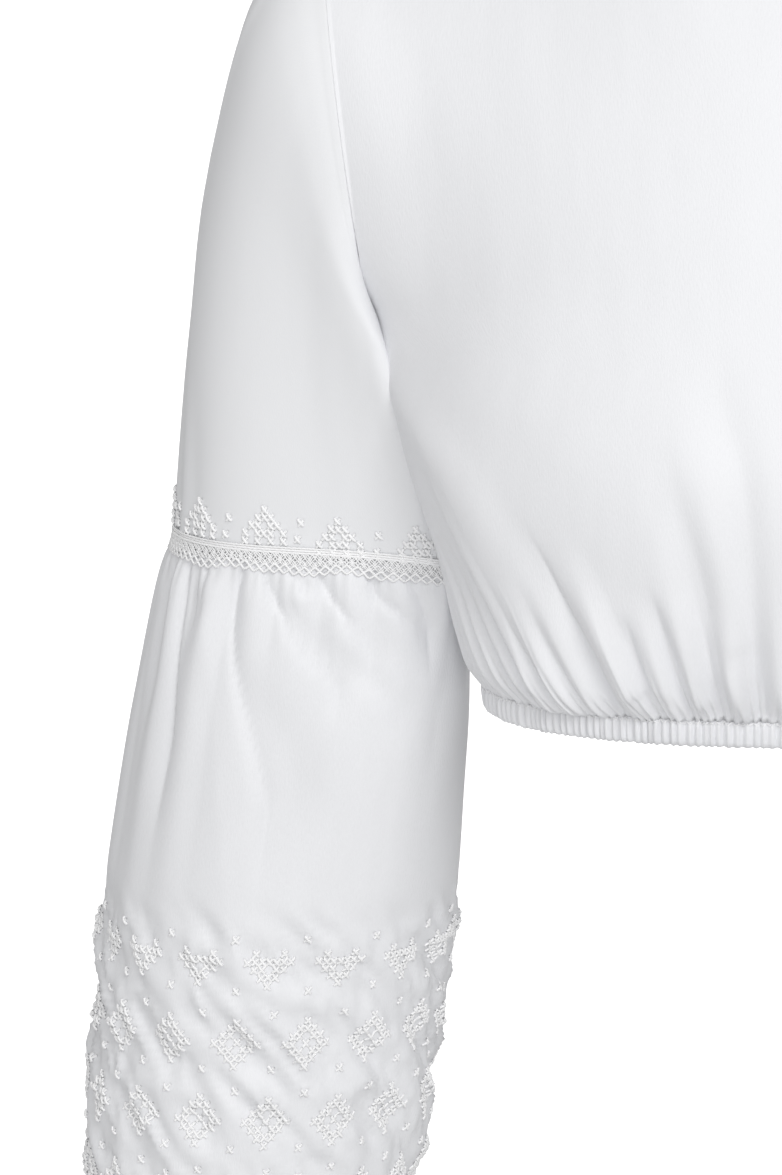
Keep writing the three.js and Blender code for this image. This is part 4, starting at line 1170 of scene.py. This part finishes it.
# %% Thread tubes
def thread_tubes(paths, ups, radius, corners, flat=1.0, closed=False):
    """Points and faces of tubes along many paths (paths, steps, 3); ups point away from the cloth."""
    if closed:
        along = np.roll(paths, -1, axis=1) - np.roll(paths, 1, axis=1)
    else:
        along = np.gradient(paths, axis=1)
    along /= np.linalg.norm(along, axis=-1, keepdims=True)
    side = np.cross(along, ups)
    side /= np.linalg.norm(side, axis=-1, keepdims=True)
    up = np.cross(side, along)
    count, steps = paths.shape[:2]
    angle = np.arange(corners) * 2 * math.pi / corners
    sideways = side[:, :, None] * np.cos(angle)[:, None]
    upwards = up[:, :, None] * np.sin(angle)[:, None] * flat
    points = (paths[:, :, None] + (sideways + upwards) * radius).reshape(-1, 3)
    place = np.arange(count * steps * corners).reshape(count, steps, corners)
    if closed:
        place = np.concatenate([place, place[:, :1]], axis=1)
    after = np.roll(place, -1, axis=2)
    faces = np.stack([place[:, :-1], after[:, :-1], after[:, 1:], place[:, 1:]], -1).reshape(-1, 4)
    return points, faces


def join_meshes(parts):
    """Many (points, faces) as one."""
    points, faces, first = [], [], 0
    for part_points, part_faces in parts:
        points.append(part_points)
        faces.append(part_faces + first)
        first += len(part_points)
    return np.concatenate(points), np.concatenate(faces)


HALVINGS = 22  # how often the search for a height halves its range


class Cloth:
    """A finished grid round a sleeve, on which threads are laid by turn and row."""

    def __init__(self, turns, rows, points, normal):
        self.turns, self.rows, self.points, self.normal = turns, rows, points, normal

    def at(self, turns, row):
        """Points and normals at any turns, in degrees, and rows, as fractions of a row."""
        column_at = np.interp(np.asarray(turns) % 360, np.append(self.turns, 360),
                              np.arange(len(self.turns) + 1))
        c0 = np.floor(column_at).astype(int)
        r0 = np.clip(np.floor(row).astype(int), 0, len(self.rows) - 2)
        tc, tr = (column_at - c0)[..., None], (row - r0)[..., None]
        c0 %= len(self.turns)
        c1 = (c0 + 1) % len(self.turns)
        found = []
        for grid in (self.points, self.normal):
            upper = mix(grid[r0, c0], grid[r0, c1], tc)
            lower = mix(grid[r0 + 1, c0], grid[r0 + 1, c1], tc)
            found.append(mix(upper, lower, tr))
        normal = found[1] / np.linalg.norm(found[1], axis=-1, keepdims=True)
        return found[0], normal

    def row_at_z(self, turns, z):
        """The row, as a fraction, at which one line down the cloth reaches a height."""
        turns, z = np.broadcast_arrays(np.asarray(turns, float), np.asarray(z, float))
        low = np.zeros(turns.shape)
        high = np.full(turns.shape, len(self.rows) - 1.0)
        for _ in range(HALVINGS):
            middle = (low + high) / 2
            above = self.at(turns, middle)[0][..., 2] > z
            low, high = np.where(above, middle, low), np.where(above, high, middle)
        return low


upper_cloth = Cloth(UPPER_TURNS, UPPER_ROWS, upper_outer, upper_normal)
lower_cloth = Cloth(lower_turns, lower_z, lower_outer, lower_normal)

# %% [markdown]
# The embroidery is counted cross stitch in white thread: a row of hearts, rows of diamonds below it, single
# crosses between them, and a row of pyramids above the lace. These are old common motifs. Each is a small
# chart, one letter a stitch, and every stitch is two raised strands, the second of them over the first.

# %% Embroidery charts
HEART = (".X...X.", "XXXXXXX", ".XX.XX.", "..XXX..", "...X...")
DIAMOND = ("...X...", "..XXX..", ".XX.XX.", "XX.X.XX", ".XX.XX.", "..XXX..", "...X...")
PYRAMID = ("...X...", "..XXX..", ".XX.XX.", "X.XXX.X", "X.X.X.X")
STITCH_WIDE = 2.95  # size of one cross
STITCH_TALL = 3.4
MOTIFS_ROUND = 16
PYRAMIDS_ROUND = 12
MOTIF_ROWS = table(
    ("chart", "turn", "z", "single_turn", "above", "below", "below_shift"),
    (HEART, 48.4, -437.8, 37.2, 13.3, 9.6, 1.7),
    (DIAMOND, 40.2, -471.5, 51.4, 13.8, 12.2, 1.0),
    (DIAMOND, 52.5, -507, 63.7, 13.5, 12.2, 0.6),
    (DIAMOND, 43.0, -543, 54.2, 13.5, 12.2, 0.6),
)
PYRAMID_TURN = 45.3
PYRAMID_LIFT = 8.6  # a pyramid's middle above the lace
PYRAMID_SINK = 3.2  # how much lower they sit towards the body
PYRAMID_SINGLE_LIFT = 10.6
PYRAMID_LOW_LIFT = 3.4
PYRAMID_LOW_SHIFT = 1.4
SINK_FROM = 75  # degrees
SINK_REACH = 30
STRAND = 0.7  # radius of an embroidery thread
STRAND_STEPS = 4
STRAND_REACH = (0.37, 0.48)  # half a strand's length, as a share of its cross
STRAND_SHIFT = 0.16
STRAND_SEAT = 0.1
STRAND_LIFTS = (0.4, 0.75)  # how high the first strand bulges, and the second one over it
STRAND_ROUND = 2.4
STRAND_CORNERS = 4
STRAND_FLAT = 0.9


def stitch_cells(chart, turn, z, girth):
    """Centres of a chart's crosses, as (turn, z), round a middle place."""
    rows, columns = len(chart), len(chart[0])
    cells = []
    for row, letters in enumerate(chart):
        for place, letter in enumerate(letters):
            if letter == "X":
                across = (place - (columns - 1) / 2) * STITCH_WIDE
                cells.append((turn + across * 360 / girth, z - (row - (rows - 1) / 2) * STITCH_TALL))
    return cells


def cross_stitches(cloth, cells, girths, seed):
    """Two raised strands for each cell, laid on the cloth."""
    draw = np.random.default_rng(seed)
    cells = np.array(cells)
    degree = 360 / np.asarray(girths)
    parts = []
    steps = np.linspace(-1, 1, STRAND_STEPS)
    for order, slant in enumerate((1, -1)):
        reach = draw.uniform(*STRAND_REACH, (len(cells), 1))
        shift = draw.uniform(-STRAND_SHIFT, STRAND_SHIFT, (len(cells), 2))
        turns = cells[:, :1] + (steps * reach * STITCH_WIDE + shift[:, :1]) * degree[:, None]
        z = cells[:, 1:] + slant * steps * reach * STITCH_TALL + shift[:, 1:]
        ground, normal = cloth.at(turns, cloth.row_at_z(turns, z))
        lift = STRAND_SEAT + STRAND_LIFTS[order] * (1 - np.abs(steps) ** STRAND_ROUND)
        path = ground + normal * lift[None, :, None]
        parts.append(thread_tubes(path, normal, STRAND, STRAND_CORNERS, STRAND_FLAT))
    return join_meshes(parts)


def add_stitches(name, side, points, faces):
    """Embroidery as a piece of its own, on the right side or mirrored to the left."""
    if side == "left":
        points = mirrored(points)
    piece = add_mesh(f"{name}_{side}", points, faces)
    finish_piece(piece, None, THREAD)
    return piece


# %% [markdown]
# The motifs repeat round the whole sleeve at even steps. How many degrees a cross takes up depends on the
# sleeve's girth at its height.

# %% Embroidery of the lower sleeves
girth_at = np.linalg.norm(np.diff(lower_base, axis=1, append=lower_base[:, :1]), axis=2).sum(1)
lower_cells, lower_girths = [], []
for row in MOTIF_ROWS:
    girth = float(np.interp(-row["z"], -lower_z, girth_at))
    for index in range(MOTIFS_ROUND):
        step = index * 360 / MOTIFS_ROUND
        found = stitch_cells(row["chart"], row["turn"] + step, row["z"], girth)
        found += [(row["single_turn"] + step, row["z"] + row["above"]),
                  (row["single_turn"] + row["below_shift"] + step, row["z"] - row["below"])]
        lower_cells += found
        lower_girths += [girth] * len(found)
points, faces = cross_stitches(lower_cloth, lower_cells, lower_girths, 41)
embroidery = [add_stitches("embroidery", side, points, faces) for side in ("right", "left")]
print("crosses on a lower sleeve:", len(lower_cells))

# %% [markdown]
# The lace is a narrow bobbin lace edging over the seam between the two parts of the sleeve: two cords with
# a woven tape between them, a net of crossing threads, and an edge of loops. Every thread is a path round
# the sleeve that swings up and down as it goes. The trim lies on the gathers below it, so its lower edge
# rises and falls with them, and it dips a little under the arm, where its ends are sewn.

# %% Where the lace lies
LACE_REPEATS = 46
LACE_POINTS = 16  # points of each repeat
LACE_CLEAR = 0.5  # from the cloth to the middle of a thread
LACE_TOP = table(
    ("turn", "z"),
    (-40, -252), (0, -252), (60, -253.2), (110, -255), (135, -257.5), (147, -259.5), (170, -258.5),
    (200, -256.5), (240, -254.5), (290, -252.5), (320, -252), (360, -252), (420, -253.2),
)
lace_turns = np.arange(LACE_REPEATS * LACE_POINTS) * 360 / (LACE_REPEATS * LACE_POINTS)
lace_phase = np.arange(LACE_REPEATS * LACE_POINTS) / LACE_POINTS


def lace_top(turns):
    """Height of the trim's upper edge."""
    at = np.array([row["turn"] for row in LACE_TOP], float)
    z = np.array([row["z"] for row in LACE_TOP], float)
    return smooth_curve(at, z, np.asarray(turns) % 360)


def round_blur(values, reach):
    """The mean of each value and its neighbours on a closed row."""
    return sum(np.roll(values, step, axis=-1) for step in range(-reach, reach + 1)) / (2 * reach + 1)


crests = np.max([np.roll(lower_relief, step, axis=1) for step in range(-3, 4)], axis=0)
lace_seat = round_blur(crests, 4)


def lace_surface(turns, z):
    """Points and horizontal outward directions on the gathers, where lace can lie on them."""
    levels = np.where(z < SEAM_Z, levels_at(z), 1)
    angle = np.radians(turns)
    dense = np.linspace(0.7, 1, 50)
    surface = sleeve_surface(turns, dense)
    above = np.array([np.interp(-height, -surface[:, index, 2], dense) for index, height in enumerate(z)])
    levels = np.where(surface[-1, :, 2] < z, above, levels)
    x, y = sleeve_plan(turns, levels)
    points = np.stack([x, y, z], -1)
    out = np.stack([-np.cos(angle), -np.sin(angle), np.zeros(len(turns))], -1)
    row = np.interp(-z, -lower_z, np.arange(len(lower_z)))
    row = np.clip(row, 0, len(lower_z) - 2)
    place = np.interp(turns, np.append(lower_turns, 360), np.arange(len(lower_turns) + 1))
    low_row, low_place = row.astype(int), place.astype(int)
    after = (low_place + 1) % len(lower_turns)
    seat = mix(mix(lace_seat[low_row, low_place], lace_seat[low_row, after], place - low_place),
               mix(lace_seat[low_row + 1, low_place], lace_seat[low_row + 1, after], place - low_place),
               row - low_row)
    return points + out * seat[:, None], out


def lace_thread(height, radius, out, corners, flat=1.0):
    """A closed thread at a depth below the trim's top, a distance off the cloth."""
    point, outwards = lace_surface(lace_turns, lace_top(lace_turns) - height)
    path = (point + outwards * (LACE_CLEAR + out)[:, None])[None]
    return thread_tubes(path, outwards[None], radius, corners, flat, closed=True)


def zigzag(phase, times=1):
    """A wave with straight flanks and slightly rounded turns, from -1 to 1."""
    wave = np.sin(2 * math.pi * (lace_phase * times + phase))
    return np.arcsin(np.clip(wave, -1, 1) * 0.97) / math.asin(0.97)


# %% [markdown]
# Each row of the net is two threads that swing against each other, so that they cross again and again. A
# flat strip with a picture of lace would be quicker to make, but it has no threads that catch the light.

# %% The lace trims
LACE_ROWS = table(
    ("middle", "swing", "radius", "times"),
    (4.3, 1.4, 0.36, 2),
    (6.6, 1.2, 0.36, 2),
    (9.4, 1.8, 0.58, 1),
    (5.4, 2.3, 0.3, 1),
)
LACE_BANDS = table(  # the two cords, and the tape between them
    ("height", "wobble", "radius", "out", "corners", "flat"),
    (0.4, 0.08, 0.42, 0.15, 5, 1.0),
    (2.5, 0.08, 0.56, 0.15, 5, 1.0),
    (1.4, 0, 0.85, -0.15, 4, 0.3),
)
CROSSING_LIFT = 0.16  # how far crossing threads pass over and under each other
NET_OUT = 0.1
NET_CORNERS = 4
SWAY_FROM = 3  # below this the rows lie less straight, down to the loops
SWAY_REACH = 7
level_line = np.zeros(len(lace_turns))
ripple = np.sin(2 * math.pi * lace_phase * 4)
sway = 0.7 * np.sin(np.radians(lace_turns * 9 + 20)) + 0.5 * np.sin(np.radians(lace_turns * 16))
lace_parts = []
for band in LACE_BANDS:
    height = band["height"] + ripple * band["wobble"]
    lace_parts.append(lace_thread(height, band["radius"], level_line + band["out"], band["corners"],
                                  band["flat"]))
for row in LACE_ROWS:
    for phase in (0, 0.5):
        crossing = CROSSING_LIFT * np.cos(2 * math.pi * (lace_phase * row["times"] + phase) + math.pi / 2)
        height = row["middle"] + row["swing"] * zigzag(phase, row["times"])
        height = height + sway * ease((row["middle"] - SWAY_FROM) / SWAY_REACH)
        lace_parts.append(lace_thread(height, row["radius"], crossing + NET_OUT, NET_CORNERS))
points, faces = join_meshes(lace_parts)
for side in ("right", "left"):
    trim = add_mesh(f"lace_{side}", mirrored(points) if side == "left" else points, faces)
    finish_piece(trim, f"lace_trim_{side}", THREAD)

# %% [markdown]
# The pyramids stand in a row above the lace and follow its upper edge, with two single crosses between them.

# %% Embroidery above the lace
upper_girth = float(np.linalg.norm(np.diff(upper_base[-1], axis=0, append=upper_base[-1:, 0]), axis=1).sum())
upper_cells = []
for index in range(PYRAMIDS_ROUND):
    turn = PYRAMID_TURN + index * 360 / PYRAMIDS_ROUND
    between = turn + 180 / PYRAMIDS_ROUND
    sink = PYRAMID_SINK * ease((turn - SINK_FROM) / SINK_REACH) * (turn < 180)
    upper_cells += stitch_cells(PYRAMID, turn, float(lace_top(turn)) + PYRAMID_LIFT - sink, upper_girth)
    upper_cells += [(between, float(lace_top(between)) + PYRAMID_SINGLE_LIFT - sink),
                    (between - PYRAMID_LOW_SHIFT, float(lace_top(between)) + PYRAMID_LOW_LIFT - sink)]
points, faces = cross_stitches(upper_cloth, upper_cells, [upper_girth] * len(upper_cells), 42)
borders = [add_stitches("border", side, points, faces) for side in ("right", "left")]
print("crosses above the lace:", len(upper_cells))

# %% [markdown]
# The neckline lies above the picture. It is bound with a narrow folded strip of the same cloth, plain and
# rounded at its upper edge, which is the least that a gathered neckline needs.

# %% The neck binding
BINDING_STEPS = 120
BINDING_LENGTH = 480
BINDING_STEP = 1.9  # along the section, from one corner to the next
BINDING_LEAN = (0.5, 1.6)  # at the middle and at the shoulder
BINDING_PROFILE = ((0.3, 0.5), (2.5, 0.62), (5, 0.6), (6.9, 0.45), (7.8, -0.1), (8, -0.65), (7.8, -1.2),
                   (6.9, -1.75), (5, -1.8), (2.5, -1.8), (0.3, -1.8))


def neck_ring(facing):
    """Points of half the neckline, with the directions that the binding stands up in and faces."""
    across = np.linspace(-NECK_SHARE, NECK_SHARE, BINDING_STEPS)
    turn = 90 - 90 * np.abs(across) / NECK_SHARE
    point = neck_points(turn, facing)
    tangent = neck_points(turn + 1, facing) - neck_points(turn - 1, facing)
    tangent /= np.linalg.norm(tangent, axis=1, keepdims=True)
    angle = np.radians(turn)
    lean = mix(*BINDING_LEAN, np.cos(angle) ** 4)
    up = np.stack([lean * np.cos(angle), -facing * lean * np.sin(angle), np.ones(len(turn))], -1)
    up -= tangent * (up * tangent).sum(1, keepdims=True)
    up /= np.linalg.norm(up, axis=1, keepdims=True)
    out = np.stack([-np.cos(angle), facing * np.sin(angle), np.zeros(len(turn))], -1)
    out -= up * (out * up).sum(1, keepdims=True)
    out /= np.linalg.norm(out, axis=1, keepdims=True)
    for vector in (point, up, out):
        vector[:, 0] *= np.where(across > 0, -1, 1)
    return point, up, out


rings = [neck_ring(-1), tuple(part[::-1] for part in neck_ring(1))]
point, up, out = (np.concatenate([ring[part][:-1] for ring in rings]) for part in range(3))
section = np.array(BINDING_PROFILE)
binding_points = point[:, None] + up[:, None] * section[None, :, :1] + out[:, None] * section[None, :, 1:]
count, corners = binding_points.shape[:2]
place = np.arange(count * corners).reshape(count, corners)
place = np.concatenate([place, place[:1]])
after = np.roll(place, -1, axis=1)
binding_faces = np.stack([place[:-1], after[:-1], after[1:], place[1:]], -1).reshape(-1, 4)
arc = np.linspace(0, BINDING_LENGTH, count + 1)
lengthwise = np.repeat(arc[:, None], corners, 1)
crosswise = np.repeat(np.arange(corners)[None] * BINDING_STEP, count + 1, 0)
flat = np.stack([lengthwise, crosswise], -1)
flat_after = np.roll(flat, -1, axis=1)
binding_uv = np.stack([flat[:-1], flat_after[:-1], flat_after[1:], flat[1:]], 2).reshape(-1, 4, 2)
binding = add_mesh("neck_binding_cloth", binding_points.reshape(-1, 3), binding_faces, binding_uv)
finish_piece(binding, "neck_binding", SATEEN)

# %% [markdown]
# A row of small zigzag stitches holds the casing's edge. The gathers push the stitches about, so that they
# stand up here and there and catch the light as a tiny frill.

# %% Stitches of the casing
STITCH_PITCH = 2.1
STITCH_SHIFT = 0.3
STITCH_PLACES = np.array([0, 0.6, 1.2, 1.8])
STITCH_RISE = np.array([-1, -0.3, 0.3, 1])
STITCH_OUT = np.array([0.1, 0.45, 0.45, 0.1])
STITCH_LIFT = 0.2
STITCH_RADIUS = 0.24
draw = np.random.default_rng(51)
stitch_paths = []
stitch_ups = []
casing_ring = casing_outer[2]
ring_length = np.concatenate([[0], np.cumsum(np.linalg.norm(
    np.diff(casing_ring, axis=0, append=casing_ring[:1]), axis=1))])
ring_closed = np.concatenate([casing_ring, casing_ring[:1]])
out_closed = np.concatenate([casing_out[2], casing_out[2][:1]])
for index in range(int(ring_length[-1] / STITCH_PITCH)):
    start = index * STITCH_PITCH + draw.uniform(-STITCH_SHIFT, STITCH_SHIFT)
    ends = start + STITCH_PLACES
    drop = (0.9 if index % 2 else -0.5) * STITCH_RISE * draw.uniform(0.5, 1.2)
    path = np.stack([np.interp(ends, ring_length, ring_closed[:, axis]) for axis in range(3)], -1)
    away = np.stack([np.interp(ends, ring_length, out_closed[:, axis]) for axis in range(3)], -1)
    path = path + away * STITCH_OUT[:, None]
    path[:, 2] += drop + STITCH_LIFT
    stitch_paths.append(path)
    stitch_ups.append(away)
points, faces = thread_tubes(np.array(stitch_paths), np.array(stitch_ups), STITCH_RADIUS, 4)
casing_stitches = add_mesh("casing_stitches", points, faces)
finish_piece(casing_stitches, None, THREAD)

# %% [markdown] Triangles in all

print("triangles in all:", total_triangles)
